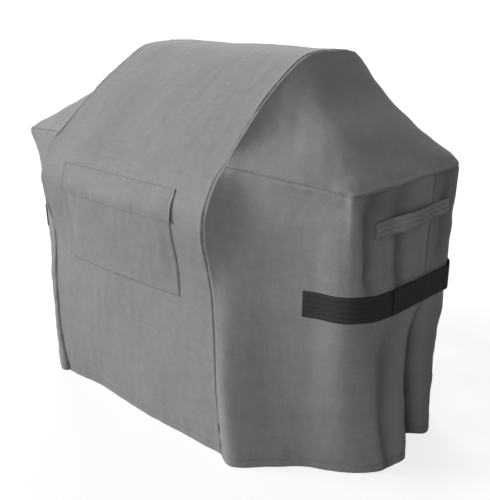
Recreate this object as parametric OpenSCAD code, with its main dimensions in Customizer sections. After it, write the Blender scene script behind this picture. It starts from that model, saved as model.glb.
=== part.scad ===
// Grill cover: a fabric cover for a gas grill with two side tables. It is cut as one band that
// runs over the hood, two sloping hip panels and four skirt halves, with a flapped pocket in
// front, a webbing handle on each end and a hook-and-loop strap round each end.
// +X is the right end, -Y the front and +Z up. The hem stands on z = 0.

/* [Cover size] */
// Length of the cover at the side tables
table_l = 1490; // [1400:10:1560]
// Depth of the cover at the side tables
table_d = 550; // [530:5:580]
// Height of the hip seam at the table corners
table_h = 827; // [790:1:850]
// Height of the ridge
ridge_h = 1150; // [1110:1:1190]
// Half width of the centre band at the hem
band_hem_w = 397; // [385:1:405]
// Half width of the centre band at the ridge
band_top_w = 362; // [350:1:375]
// How much narrower the band is just under the hood's shelf
band_draw = 18; // [0:2:24]
// How far the hem stands out past the side tables at each end
hem_flare = 57; // [30:1:65]
// How far the front skirts' free edges draw forward below the straps
slit_draw = 80; // [0:5:90]
// How far the hip panels sag between the hood and the side tables
hip_sag = 30; // [10:2:36]

/* [Cloth] */
// Thickness of the coated cloth with its lining
cloth_t = 2.4; // [1.8:0.1:2.6]
// Thickness of the strap and handle webbing
web_t = 2.0; // [1.4:0.1:2.4]
// Room left between neighbouring panels at a seam
seam_gap = 3; // [3:0.5:4]

/* [Pocket] */
// Width of the pocket
pocket_w = 520; // [480:10:580]
// Height of the pocket's bottom seam
pocket_z = 480; // [455:1:500]
// Height of the pocket's mouth
mouth_z = 738; // [725:1:745]
// Height of the flap's sewn top edge
flap_top_z = 803; // [795:1:806]
// Height of the flap's free edge
flap_low_z = 712; // [700:1:716]
// How far the pouch stands off the band at its mouth
pouch_stand = 15; // [12:0.5:16]

/* [Handles] */
// Height of the handle's top edge
handle_z = 746; // [735:1:755]
// Height of the handle webbing
handle_h = 48; // [40:1:52]
// Length of each box-stitched handle end
handle_end_l = 78; // [60:1:85]
// Overall length of the handle
handle_l = 366; // [330:1:380]
// How far the middle of the handle stands off the cover
handle_stand = 13; // [10:1:16]

/* [Straps] */
// Height of the strap's top edge
strap_z = 534; // [520:1:545]
// Height of the strap webbing
strap_h = 76; // [60:1:80]
// How far the left strap draws in the front corner under the side table
left_drawn = 30; // [0:2:34]
// How far the tab's outer face stands out past the side table's end
tab_stand = 13; // [12:0.5:18]

/* [Hidden] */

cloth_colour = [0.42, 0.42, 0.43];
trim_colour = [0.36, 0.36, 0.37];
strap_colour = [0.07, 0.07, 0.07];

// The tables' centre line lies behind the middle of the whole cover, whose front juts out.
table_y = 91;
half_l = table_l / 2;
half_d = table_d / 2;
end_x = half_l;
// Mid height of the skirt, where the straps pull it in
waist_z = 500;
junction_z = 877;      // the hip seam meets the front of the band here
rear_junction_z = 862; // and the back of the band here
clear = 0.5;           // air between a sewn-on piece and the panel under it
skirt_clear = 1.2;     // the same over the skirts, whose faces bend both ways

// Small maths ------------------------------------------------------------------------------
function mix(a, b, t) = a + (b - a) * t;
function clamp01(t) = min(1, max(0, t));
function smooth(t) = let (u = clamp01(t)) u * u * (3 - 2 * u);
function unit(v) = v / norm(v);

// Point on a Catmull-Rom curve through the points p, t runs from 0 to len(p) - 1
function spline(p, t) =
    let (last = len(p) - 1, i = min(last - 1, floor(t)), f = t - i,
         a = p[max(0, i - 1)], b = p[i], c = p[i + 1], d = p[min(last, i + 2)])
    0.5 * (2 * b + (c - a) * f + (2 * a - 5 * b + 4 * c - d) * f * f
           + (3 * b - a - 3 * c + d) * f * f * f);

// Value through three heights: the hem, the waist and the table
function through(hem, waist, top, z) =
    let (t = z / waist_z, u = table_h / waist_z)
    hem * (t - 1) * (t - u) / u
    + waist * t * (t - u) / (1 - u)
    + top * t * (t - 1) / (u * (u - 1));

// The centre band --------------------------------------------------------------------------
// Side view of the band along its seams: [y from the table line, z], front hem to back hem
seam_profile = [
    [-402, 0], [-420, 160], [-424, 340], [-421, 500], [-431, 590], [-452, 680], [-453, 755],
    [-416, 832], [-368, junction_z], [-291, 949], [-189, 1033], [-94, 1096], [-30, 1131],
    [20, ridge_h - 5], [100, ridge_h - 1], [195, ridge_h - 6], [250, ridge_h - 28],
    [279, ridge_h - 72], [289, 1000], [294, rear_junction_z], [292, 600], [290, 300], [288, 0]];
// The same along the middle of the band, which is fuller
mid_profile = [
    [-402, 0], [-422, 160], [-433, 340], [-440, 500], [-446, 590], [-453, 680], [-457, 755],
    [-422, 832], [-372, junction_z], [-294, 953], [-191, 1037], [-95, 1099], [-30, 1133],
    [20, ridge_h - 4], [100, ridge_h], [198, ridge_h - 5], [254, ridge_h - 27],
    [284, ridge_h - 71], [294, 1000], [298, rear_junction_z], [298, 600], [297, 300], [296, 0]];
seam_last = len(seam_profile) - 1;
junction_t = 8;
rear_junction_t = 19;

function band_w(z) = mix(band_hem_w, band_top_w, smooth((z - 700) / (ridge_h - 700)))
    - band_draw * exp(-pow((z - 600) / 170, 2));
function band_edge(t, out) =
    let (p = spline(seam_profile, t)) [band_w(p[1]) + out, p[0] + table_y, p[1]];
// a runs from -1 at the left seam to 1 at the right seam, t along the profile
function band_pt(a, t) =
    let (s = spline(seam_profile, t), m = spline(mid_profile, t), p = mix(m, s, a * a))
    [a * band_w(p[1]), p[0] + table_y, p[1]];
// Profile parameter of the band's front at height z, below the junction
function front_t(z, lo = 0, hi = 8, n = 18) =
    n == 0 ? (lo + hi) / 2
    : let (m = (lo + hi) / 2)
      spline(seam_profile, m)[1] < z ? front_t(z, m, hi, n - 1) : front_t(z, lo, m, n - 1);
function back_t(z, lo = 19, hi = 22, n = 18) =
    n == 0 ? (lo + hi) / 2
    : let (m = (lo + hi) / 2)
      spline(seam_profile, m)[1] > z ? back_t(z, m, hi, n - 1) : back_t(z, lo, m, n - 1);
function front_pt(x, z) = band_pt(x / band_w(z), front_t(z));

// The skirts -------------------------------------------------------------------------------
// The free edges below the strap draw forward by this much at each height
function slit_fall(z) = slit_draw * exp(-pow((z - 300) / 220, 2)) * smooth((470 - z) / 80);
// Each column hangs from the hip seam to the hem and is given at hem, waist and table height
// as [x, y from the table line]. The strap draws the front corner in at the waist.
function front_columns(z, drawn) = [
    [band_w(z) + seam_gap, spline(seam_profile, front_t(z))[0]],
    through([462 - drawn, -425 + drawn / 2], [438, -406], [450, -358], z),
    through([545, -345], [530, -342], [545, -327], z),
    through([615, -276], [635, -290], [640, -297], z),
    through([end_x - 25, -218], [end_x - 28 - drawn, -268 + drawn], [end_x - 30, 2 - half_d], z),
    through([end_x + 33, -160], [end_x + 4 - drawn, -226 + drawn], [end_x - 2, 20 - half_d], z),
    through([end_x + 50, -105], [end_x + 2 - drawn / 10, -125], [end_x, -120], z)
        - [0, 0.3 * slit_fall(z)],
    through([end_x + hem_flare, -45], [end_x - 2, 88], [end_x, 100], z) - [0, slit_fall(z)]];
function rear_columns(z) = [
    through([end_x - 15, -15], [end_x - 4, 88 + seam_gap], [end_x, 100 + seam_gap], z)
        - [0, 0.7 * slit_fall(z)],
    through([end_x - 8, 66], [end_x - 4, 130], [end_x, 140], z) - [0, 0.4 * slit_fall(z)],
    through([end_x + 32, 125], [end_x - 4, 190], [end_x, 200], z),
    through([end_x - 4, 208], [end_x - 14, half_d - 36], [end_x - 6, half_d - 26], z),
    through([end_x - 72, 272], [end_x - 48, half_d - 2], [end_x - 36, half_d - 2], z),
    through([550, 282], [560, half_d + 6], [560, half_d + 4], z),
    [band_w(z) + seam_gap, spline(seam_profile, back_t(z))[0]]];
front_last = 7;
rear_last = 6;
corner_t = 4.5;
// Height of the hip seam along each half, t runs over that half's columns
function front_top(t) = mix(junction_z, table_h, clamp01(t / corner_t));
function rear_top(t) = mix(table_h, rear_junction_z, clamp01((t - 3.5) / 2.5));
function front_skirt_pt(t, z, drawn = 0) =
    let (p = spline(front_columns(z, drawn), t)) [p[0], p[1] + table_y, z];
function rear_skirt_pt(t, z) =
    let (p = spline(rear_columns(z), t)) [p[0], p[1] + table_y, z];

// Cloth from a grid of points --------------------------------------------------------------
// Rows of points become a closed sheet: the given face and the same face moved by the cloth's
// thickness. The pocket and the band are given by their outer face, hips and skirts by their
// inner one, and webbing by the face that lies on the skirt.
function grid_normal(g, i, j) =
    let (r = len(g) - 1, c = len(g[0]) - 1,
         du = g[min(r, i + 1)][j] - g[max(0, i - 1)][j],
         dv = g[i][min(c, j + 1)] - g[i][max(0, j - 1)])
    unit(cross(du, dv));
// The grid moved along its normals. A hem's edge stays on the ground.
function moved(g, by) =
    [for (i = [0 : len(g) - 1]) [for (j = [0 : len(g[0]) - 1])
        let (p = g[i][j] + grid_normal(g, i, j) * by)
        [p[0], p[1], g[i][j][2] == 0 ? 0 : max(0, p[2])]]];
module cloth(g, depth, flip = false) {
    r = len(g);
    c = len(g[0]);
    back = moved(g, flip ? depth : -depth);
    pts = concat([for (row = g) each row], [for (row = back) each row]);
    n = r * c;
    top = [for (i = [0 : r - 2]) for (j = [0 : c - 2])
        let (a = i * c + j) each [[a, a + 1, a + c + 1], [a, a + c + 1, a + c]]];
    low = [for (f = top) [f[2] + n, f[1] + n, f[0] + n]];
    rim = concat(
        [for (j = [0 : c - 2]) j],
        [for (i = [0 : r - 2]) i * c + c - 1],
        [for (j = [c - 1 : -1 : 1]) (r - 1) * c + j],
        [for (i = [r - 1 : -1 : 1]) i * c]);
    wall = [for (k = [0 : len(rim) - 1])
        let (a = rim[k], b = rim[(k + 1) % len(rim)]) each [[b, a, a + n], [b, a + n, b + n]]];
    faces = concat(top, low, wall);
    polyhedron(points = pts, faces = flip ? faces : [for (f = faces) [f[2], f[1], f[0]]]);
}

// Panels -----------------------------------------------------------------------------------
module centre_panel() {
    along = 66;
    across = 6;
    color(cloth_colour)
        cloth([for (i = [0 : along]) [for (j = [0 : across])
            band_pt(mix(-1, 1, j / across), i / along * seam_last)]], cloth_t, true);
}

// Point on the outer edge of a hip panel, v from 0 at the front junction to 1 at the rear one
function hip_low(v) =
    let (f = v / 0.56, r = (v - 0.56) / 0.44)
    v < 0.56 ? front_skirt_pt(f * front_last, front_top(f * front_last))
    : rear_skirt_pt(r * rear_last, rear_top(r * rear_last));
// The front corner gathers much of the front slope, so the share runs ahead of v there
function hip_share(v) = v + 0.05 * sin(360 * v);
function hip_high(v) = band_edge(mix(junction_t, rear_junction_t, hip_share(v)), seam_gap);
// The cloth lies over the table's edge in a soft shoulder and sags between table and hood
shoulder = 13;
shoulder_u = 0.06;
function hip_fall(u, v, w) =
    let (wide = smooth(w / 300), d = 1 - u)
    shoulder * wide * smooth(d / shoulder_u) * (1 - smooth((d - shoulder_u) / 0.35))
    - mix(hip_sag, hip_sag / 3, smooth((v - 0.42) / 0.2)) * wide * 6.75 * u * d * d;
function hip_pt(u, v) =
    let (a = hip_high(v), b = hip_low(v)) mix(a, b, u) + [0, 0, hip_fall(u, v, norm(b - a))];
module hip_panel() {
    along = 34;
    across = 11;
    color(cloth_colour)
        cloth([for (i = [0 : along]) let (v = mix(0.012, 0.985, i / along))
            [for (j = [0 : across]) hip_pt(1 - pow(1 - j / across, 1.7), v)]], cloth_t);
}

module front_skirt(drawn = 0) {
    around = 56;
    down = 10;
    color(cloth_colour)
        cloth([for (i = [0 : around]) let (t = i / around * front_last)
            [for (j = [0 : down])
                front_skirt_pt(t, (front_top(t) - seam_gap - 1) * (1 - j / down), drawn)]], cloth_t);
}

module rear_skirt() {
    around = 48;
    down = 10;
    color(cloth_colour)
        cloth([for (i = [0 : around]) let (t = i / around * rear_last)
            [for (j = [0 : down]) rear_skirt_pt(t, (rear_top(t) - seam_gap - 1) * (1 - j / down))]],
            cloth_t);
}

// Pocket -----------------------------------------------------------------------------------
strip_t = 1.0;    // hook and loop strips
strip_h = 18;
strip_l = 190;
strip_z = 725;
pocket_soft = 70; // the pouch rises to its full stand over this distance from its seams
// Height of the pouch's outer face over the band
function pouch_out(x, z) =
    let (side = smooth((pocket_w / 2 - abs(x)) / pocket_soft), rise = smooth((z - pocket_z) / 120))
    clear + cloth_t + (pouch_stand - clear - cloth_t) * side * rise;
// Height of the flap's outer face over the band: flat on it at the seam, over the pouch below
function flap_out(x, z) =
    mix(clear + cloth_t, pouch_out(x, min(z, mouth_z)) + cloth_t + 2 * strip_t + 1.2,
        smooth((flap_top_z - z) / (flap_top_z - mouth_z)));
function off_band(x, z, out) = front_pt(x, z) - [0, out, 0];

module pocket_pouch() {
    across = 28;
    up = 14;
    color(cloth_colour)
        cloth([for (i = [0 : up]) [for (j = [0 : across])
            let (x = mix(-0.5, 0.5, j / across) * pocket_w, z = mix(pocket_z, mouth_z, i / up))
            off_band(x, z, pouch_out(x, z))]], cloth_t, true);
}

module pocket_flap() {
    across = 28;
    up = 6;
    flap_w = pocket_w + 10;
    color(cloth_colour)
        cloth([for (i = [0 : up]) [for (j = [0 : across])
            let (x = mix(-0.5, 0.5, j / across) * flap_w, z = mix(flap_low_z, flap_top_z, i / up))
            off_band(x, z, flap_out(x, z))]], cloth_t, true);
}

// A closure strip whose outer face lies a given height over the band, less a set-back
module closure_strip(loop) {
    across = 10;
    color(strap_colour)
        cloth([for (i = [0 : 2]) [for (j = [0 : across])
            let (x = mix(-0.5, 0.5, j / across) * strip_l, z = strip_z + (i / 2 - 0.5) * strip_h)
            off_band(x, z, loop ? pouch_out(x, z) + strip_t + 0.3
                                : flap_out(x, z) - cloth_t - 0.5)]], strip_t, true);
}

// Webbing ----------------------------------------------------------------------------------
// An upright band along a path in plan, given from front to rear, its inner face on the path
function path_normal(p, i) =
    let (d = unit(p[min(len(p) - 1, i + 1)] - p[max(0, i - 1)])) [d[1], -d[0]];
module webbing(path, z, h, t) {
    outer = [for (i = [0 : len(path) - 1]) path[i] + path_normal(path, i) * t];
    last = len(path) - 1;
    translate([0, 0, z]) linear_extrude(h)
        polygon(concat(path, [for (i = [last : -1 : 0]) outer[i]]));
}

handle_x = end_x + cloth_t + clear;
handle_y0 = table_y + 11 - handle_l / 2;
handle_y1 = handle_y0 + handle_l;
loop_gap = 2;
module handle_ends() {
    color(trim_colour) for (y = [handle_y0, handle_y1 - handle_end_l])
        translate([handle_x, y, handle_z - handle_h]) cube([web_t, handle_end_l, handle_h]);
}

module handle_loop() {
    y0 = handle_y0 + handle_end_l + loop_gap;
    y1 = handle_y1 - handle_end_l - loop_gap;
    steps = 24;
    color(trim_colour)
        webbing([for (i = [0 : steps]) let (s = i / steps)
            [handle_x + handle_stand * pow(sin(180 * s), 1.2), mix(y0, y1, s)]],
            handle_z - handle_h, handle_h, web_t);
}

// Straps -----------------------------------------------------------------------------------
tab_x = end_x + tab_stand - web_t;
tab_y0 = table_y - 77;
tab_y1 = table_y + 226;
strap_low = strap_z - strap_h;
strap_climb = 26;
strap_out = cloth_t + skirt_clear;
base_t0 = 2.75;
base_t1 = 6.62;
patch_t0 = 6.3;
patch_l = 70;
// The base runs a little higher round the front corner than under the tab
function strap_rise(t) = strap_climb * (1 - smooth((t - 4.6) / 1.7));
function front_skirt_normal(t, z, drawn) =
    unit(cross(front_skirt_pt(t + 0.02, z, drawn) - front_skirt_pt(t - 0.02, z, drawn),
               front_skirt_pt(t, z + 4, drawn) - front_skirt_pt(t, z - 4, drawn)));
function rear_skirt_normal(t, z) =
    unit(cross(rear_skirt_pt(t + 0.02, z) - rear_skirt_pt(t - 0.02, z),
               rear_skirt_pt(t, z + 4) - rear_skirt_pt(t, z - 4)));

// Webbing laid on the front skirt between two columns, its inner face at a given height
module on_front_skirt(drawn, t0, t1, z0, z1, out, t_web, steps) {
    cloth([for (i = [0 : steps]) let (t = mix(t0, t1, i / steps)) [for (j = [0 : 3])
        let (z = mix(z0, z1, j / 3) + strap_rise(t))
        front_skirt_pt(t, z, drawn) + front_skirt_normal(t, z, drawn) * out]], t_web, true);
}

module strap_base(drawn = 0) {
    color(strap_colour)
        on_front_skirt(drawn, base_t0, base_t1, strap_low, strap_z, strap_out, web_t, 52);
}

module strap_loop_patch(drawn = 0) {
    inset = 8;
    color(strap_colour)
        on_front_skirt(drawn, patch_t0, base_t1 - 0.04, strap_low + inset, strap_z - inset,
            strap_out + web_t + clear, strip_t, 3);
}

module strap_tab() {
    color(strap_colour)
        webbing([[tab_x, tab_y0], [tab_x, tab_y1]], strap_low, strap_h, web_t);
}

module strap_hook_patch() {
    inset = 8;
    color(strap_colour)
        webbing([[tab_x - 0.3 - strip_t, tab_y0 + 4], [tab_x - 0.3 - strip_t, tab_y0 + 4 + patch_l]],
            strap_low + inset, strap_h - 2 * inset, strip_t);
}

// The tab's sewn end leaves the tab's line and bends round the rear corner onto the skirt
module strap_anchor() {
    steps = 14;
    t0 = 3.0;
    t1 = 4.5;
    ease = 0.5;
    color(strap_colour)
        cloth([for (i = [0 : steps]) let (t = mix(t0, t1, i / steps)) [for (j = [0 : 3])
            let (z = mix(strap_low, strap_z, j / 3),
                 out = mix(tab_stand + 9, strap_out, smooth((t - t0) / ease)))
            rear_skirt_pt(t, z) + rear_skirt_normal(t, z) * out]], web_t, true);
}

centre_panel();
hip_panel();  // right_hip_panel
mirror([1, 0, 0]) hip_panel();  // left_hip_panel
front_skirt();  // right_front_skirt
rear_skirt();  // right_rear_skirt
mirror([1, 0, 0]) front_skirt(left_drawn);  // left_front_skirt
mirror([1, 0, 0]) rear_skirt();  // left_rear_skirt
pocket_pouch();
pocket_flap();
closure_strip(true);  // pocket_loop_strip
closure_strip(false);  // pocket_hook_strip
handle_loop();  // right_handle_loop
handle_ends();  // right_handle_ends
mirror([1, 0, 0]) handle_loop();  // left_handle_loop
mirror([1, 0, 0]) handle_ends();  // left_handle_ends
strap_base();  // right_strap_base
strap_loop_patch();  // right_strap_loop_patch
strap_tab();  // right_strap_tab
strap_hook_patch();  // right_strap_hook_patch
strap_anchor();  // right_strap_anchor
mirror([1, 0, 0]) strap_base(left_drawn);  // left_strap_base
mirror([1, 0, 0]) strap_loop_patch(left_drawn);  // left_strap_loop_patch
mirror([1, 0, 0]) strap_tab();  // left_strap_tab
mirror([1, 0, 0]) strap_hook_patch();  // left_strap_hook_patch
mirror([1, 0, 0]) strap_anchor();  // left_strap_anchor
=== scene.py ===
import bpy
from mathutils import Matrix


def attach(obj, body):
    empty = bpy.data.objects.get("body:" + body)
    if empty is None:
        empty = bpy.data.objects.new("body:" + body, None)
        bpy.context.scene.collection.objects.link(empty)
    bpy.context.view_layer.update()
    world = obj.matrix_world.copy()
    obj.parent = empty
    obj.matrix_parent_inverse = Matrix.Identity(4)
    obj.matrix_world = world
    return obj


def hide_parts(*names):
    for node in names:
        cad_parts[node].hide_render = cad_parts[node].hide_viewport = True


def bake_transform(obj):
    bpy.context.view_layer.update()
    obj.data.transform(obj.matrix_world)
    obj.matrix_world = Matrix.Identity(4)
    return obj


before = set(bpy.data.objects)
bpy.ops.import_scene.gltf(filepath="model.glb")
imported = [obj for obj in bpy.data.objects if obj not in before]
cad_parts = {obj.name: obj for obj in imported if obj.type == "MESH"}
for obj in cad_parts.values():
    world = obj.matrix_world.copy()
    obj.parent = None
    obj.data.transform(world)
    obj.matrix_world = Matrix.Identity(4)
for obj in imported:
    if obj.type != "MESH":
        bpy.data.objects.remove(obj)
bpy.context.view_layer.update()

import logging
import math
from dataclasses import dataclass, field
from enum import Enum
from typing import Callable, Optional, Sequence

import bpy
import numpy as np
from mathutils import Matrix, Vector

log = logging.getLogger("grill_cover")
MM = 0.001
Grid = np.ndarray
Socket = bpy.types.NodeSocket
# Distances from a sewn or hemmed edge, in millimetres, at which its panel's mesh has lines
EDGE_LINES = (1.2, 2.6, 4.2, 6.2, 8.8, 12.0, 16.5, 21.0, 24.0, 27.0)


class Side(Enum):
    """An end of the cover. Its value is the sign of x there."""

    RIGHT = 1
    LEFT = -1

    @property
    def word(self) -> str:
        """The side's name in piece names."""
        return self.name.lower()

    @property
    def mirrored(self) -> bool:
        """Whether the side is a mirror image of the right one."""
        return self is Side.LEFT


class Edge(Enum):
    """An edge of a panel's grid."""

    FIRST_ROW = 0
    LAST_ROW = 1
    FIRST_COLUMN = 2
    LAST_COLUMN = 3


class Half(Enum):
    """Front or rear half of a skirt, a handle or a hip."""

    FRONT = "front"
    REAR = "rear"


class Hold(Enum):
    DRAPED = "draped"
    HUNG = "hung"
    LAID = "laid"
    STRETCHED = "stretched"


# Small maths -------------------------------------------------------------------------------
def smooth(t: Grid) -> Grid:
    """Eases from 0 to 1 as t does, and stays there outside."""
    u = np.clip(t, 0.0, 1.0)
    return u * u * (3 - 2 * u)


def mix(a: Grid, b: Grid, t: Grid) -> Grid:
    """The value t of the way from a to b."""
    return a + (b - a) * t


def bell(t: Grid, centre: float, width: float) -> Grid:
    """A bump of height 1 at centre that falls away over width."""
    return np.exp(-(((t - centre) / width) ** 2))


def unit(v: Grid) -> Grid:
    """Vectors scaled to length 1. A vector of no length stays as it is."""
    size = np.linalg.norm(v, axis=-1, keepdims=True)
    return v / np.maximum(size, 1e-12)


def spline(points: Grid, t: Grid) -> Grid:
    """Points on a Catmull-Rom curve.

    Args:
        points: (k, 2), or (k, n, 2) with a curve of its own for each of n places.
        t: Places along the curve, from 0 to k - 1, of shape (n,).

    Returns:
        The points at t, of shape (n, 2).
    """
    last = len(points) - 1
    i = np.clip(np.floor(t).astype(int), 0, last - 1)
    f = (t - i)[:, None]
    pick = np.arange(len(t))

    def at(k: Grid) -> Grid:
        """The curve's points of number k."""
        k = np.clip(k, 0, last)
        return points[k] if points.ndim == 2 else points[k, pick]

    a, b, c, d = at(i - 1), at(i), at(i + 1), at(i + 2)
    cubic = (2 * b, c - a, 2 * a - 5 * b + 4 * c - d, 3 * b - a - 3 * c + d)
    return 0.5 * (cubic[0] + cubic[1] * f + cubic[2] * f**2 + cubic[3] * f**3)


def spread(length: float, step: float) -> Grid:
    """Places from 0 to 1 along a length, closer together near its two ends.

    Args:
        length: The length in metres.
        step: Usual distance between places, in metres.

    Returns:
        The places, in order.
    """
    fine = np.array(EDGE_LINES) * MM
    start, end = fine[-1], length - fine[-1]
    middle = np.linspace(start, end, max(2, round((end - start) / step)) + 1)
    places = np.concatenate([[0.0], fine, middle, length - fine[::-1], [length]])
    return np.unique(np.round(places, 6)) / length


@dataclass(frozen=True)
class Ripples:
    """Soft unevenness of cloth: a seeded sum of waves in all directions.

    Attributes:
        seed: Seed of the random draws.
        height: Usual height of the waves, in metres.
        length: Usual distance between crests, in metres.
        grain: How much longer the waves are along the first direction than across it.
        count: Number of waves.
    """

    seed: int
    height: float
    length: float
    grain: float = 1.0
    count: int = 18

    def at(self, u: Grid, v: Grid) -> Grid:
        """Height of the cloth at distances u and v, in metres."""
        rng = np.random.default_rng(self.seed)
        total = np.zeros_like(u)
        for _ in range(self.count):
            wave = self.length * rng.uniform(0.6, 1.9)
            turn, phase = rng.uniform(0, 2 * math.pi, 2)
            along = u * math.cos(turn) / self.grain + v * math.sin(turn)
            total += np.sin(along * 2 * math.pi / wave + phase)
        return self.height * total / math.sqrt(self.count / 2)


# The cover's shape, the same as the CAD part's ----------------------------------------------
# Side view of the band: from the table line back, and up, from the front hem to the back hem
BAND_SIDE_VIEW = (
    (-0.402, 0), (-0.420, 0.160), (-0.424, 0.340), (-0.421, 0.500), (-0.431, 0.590),
    (-0.452, 0.680), (-0.453, 0.755), (-0.416, 0.832), (-0.368, 0.877), (-0.291, 0.949),
    (-0.189, 1.033), (-0.094, 1.096), (-0.030, 1.131), (0.020, 1.145), (0.100, 1.149),
    (0.195, 1.144), (0.250, 1.122), (0.279, 1.078), (0.289, 1.0), (0.294, 0.862),
    (0.292, 0.600), (0.290, 0.300), (0.288, 0),
)
# How much fuller the middle of the band is at the same places
BAND_FULLNESS = (
    (0, 0), (-0.002, 0), (-0.009, 0), (-0.019, 0), (-0.015, 0), (-0.005, 0), (-0.004, 0),
    (-0.006, 0), (-0.004, 0), (-0.003, 0.004), (-0.002, 0.004), (-0.001, 0.003), (0, 0.002),
    (0, 0.001), (0, 0.001), (0.003, 0.001), (0.004, 0.001), (0.005, 0.001), (0.005, 0),
    (0.004, 0), (0.006, 0), (0.007, 0), (0.008, 0),
)


@dataclass(frozen=True)
class CoverShape:
    """Where the cover's panels lie, in metres in the row frame."""

    table_y: float = 0.091
    half_l: float = 0.745
    half_d: float = 0.275
    table_h: float = 0.827
    ridge_h: float = 1.150
    waist_z: float = 0.500
    junction_z: float = 0.877
    rear_junction_z: float = 0.862
    junction_t: float = 8.0
    rear_junction_t: float = 19.0
    cloth_t: float = 0.0024
    half_gap: float = 0.0015
    hem_flare: float = 0.057
    hip_sag: float = 0.030
    slit_draw: float = 0.066
    front_last: int = 7
    rear_last: int = 6
    seam_depth: float = 0.0028

    @property
    def side_view(self) -> Grid:
        """The band's side view along its seams."""
        return np.array(BAND_SIDE_VIEW)

    def band_w(self, z: Grid) -> Grid:
        """Half the band's width at a height."""
        wide = mix(0.397, 0.362, smooth((z - 0.700) / (self.ridge_h - 0.700)))
        return wide - 0.018 * bell(z, 0.600, 0.170)

    def band_edge(self, t: Grid, out: float) -> Grid:
        """Points beside the band's right edge, out metres past it."""
        p = spline(self.side_view, t)
        return np.stack([self.band_w(p[:, 1]) + out, p[:, 0] + self.table_y, p[:, 1]], -1)

    def band(self, a: Grid, t: Grid) -> Grid:
        """Points on the band's outer face, a from -1 to 1 across it and t along it."""
        seam = spline(self.side_view, t)
        full = spline(self.side_view + np.array(BAND_FULLNESS), t)
        p = mix(full, seam, np.minimum(a * a, 1.0)[:, None])
        return np.stack([a * self.band_w(p[:, 1]), p[:, 0] + self.table_y, p[:, 1]], -1)

    def _t_at(self, z: Grid, low: float, high: float) -> Grid:
        """Place along the side view, between low and high, where it passes height z."""
        t = np.linspace(low, high, 3000)
        height = spline(self.side_view, t)[:, 1]
        if height[0] > height[-1]:
            t, height = t[::-1], height[::-1]
        return np.interp(z, height, t)

    def front_t(self, z: Grid) -> Grid:
        """Place along the side view of the band's front at a height."""
        return self._t_at(z, 0, self.junction_t)

    def back_t(self, z: Grid) -> Grid:
        """Place along the side view of the band's back at a height."""
        return self._t_at(z, self.rear_junction_t, len(BAND_SIDE_VIEW) - 1)

    def _through(self, hem: Sequence[float], waist: Sequence[float], top: Sequence[float],
                 z: Grid) -> Grid:
        """A curve in height through three places in plan.

        Args:
            hem: The place at the hem.
            waist: The place at the waist.
            top: The place at the table.
            z: Heights.

        Returns:
            The curve's places in plan, (n, 2).
        """
        t = (z / self.waist_z)[:, None]
        u = self.table_h / self.waist_z
        return (np.array(hem) * (t - 1) * (t - u) / u + np.array(waist) * t * (t - u) / (1 - u)
                + np.array(top) * t * (t - 1) / (u * (u - 1)))

    def slit_fall(self, z: Grid) -> Grid:
        """How far the free edges below the strap draw forward, at height z."""
        return self.slit_draw * bell(z, 0.300, 0.220) * smooth((0.470 - z) / 0.080)

    def front_skirt(self, t: Grid, z: Grid, drawn: float) -> Grid:
        """Points on a right front skirt's lining side, t columns along it from the band.

        Args:
            t: Columns, from 0 at the band to front_last in the middle of the end.
            z: Heights.
            drawn: How far the strap draws in the front corner.

        Returns:
            The points.
        """
        e, d = self.half_l, self.half_d
        seam = spline(self.side_view, self.front_t(z))[:, 0]
        fall = np.stack([np.zeros(len(z)), self.slit_fall(z)], -1)
        columns = np.stack([
            np.stack([self.band_w(z) + self.half_gap, seam], -1),
            self._through((0.462 - drawn, -0.425 + drawn / 2), (0.438, -0.406), (0.450, -0.358), z),
            self._through((0.545, -0.345), (0.530, -0.342), (0.545, -0.327), z),
            self._through((0.615, -0.276), (0.635, -0.290), (0.640, -0.297), z),
            self._through((e - 0.025, -0.218), (e - 0.028 - drawn, -0.268 + drawn),
                          (e - 0.030, 0.002 - d), z),
            self._through((e + 0.033, -0.160), (e + 0.004 - drawn, -0.226 + drawn),
                          (e - 0.002, 0.020 - d), z),
            self._through((e + 0.050, -0.105), (e + 0.002 - drawn / 10, -0.125),
                          (e, -0.120), z) - 0.3 * fall,
            self._through((e + self.hem_flare, -0.032), (e - 0.002, 0.088),
                          (e, 0.100), z) - fall,
        ])
        p = spline(columns, t)
        return np.stack([p[:, 0], p[:, 1] + self.table_y, z], -1)

    def rear_skirt(self, t: Grid, z: Grid) -> Grid:
        """Points on a right rear skirt's lining side, t columns from the end's middle.

        Args:
            t: Columns, from 0 in the middle of the end to rear_last at the band.
            z: Heights.

        Returns:
            The points.
        """
        e, d = self.half_l, self.half_d
        seam = spline(self.side_view, self.back_t(z))[:, 0]
        fall = np.stack([np.zeros(len(z)), self.slit_fall(z)], -1)
        columns = np.stack([
            self._through((e - 0.015, -0.015), (e - 0.004, 0.091), (e, 0.103), z) - 0.7 * fall,
            self._through((e - 0.008, 0.066), (e - 0.004, 0.130), (e, 0.140), z) - 0.4 * fall,
            self._through((e + 0.032, 0.125), (e - 0.004, 0.190), (e, 0.200), z),
            self._through((e - 0.004, 0.208), (e - 0.014, d - 0.036), (e - 0.006, d - 0.026), z),
            self._through((e - 0.072, 0.272), (e - 0.048, d - 0.002), (e - 0.036, d - 0.002), z),
            self._through((0.550, 0.282), (0.560, d + 0.006), (0.560, d + 0.004), z),
            np.stack([self.band_w(z) + self.half_gap, seam], -1),
        ])
        p = spline(columns, t)
        return np.stack([p[:, 0], p[:, 1] + self.table_y, z], -1)

    def front_top(self, t: Grid) -> Grid:
        """Height of the hip seam along the front skirt."""
        return mix(self.junction_z, self.table_h, np.clip(t / 4.5, 0, 1))

    def rear_top(self, t: Grid) -> Grid:
        """Height of the hip seam along the rear skirt."""
        return mix(self.table_h, self.rear_junction_z, np.clip((t - 3.5) / 2.5, 0, 1))

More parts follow.
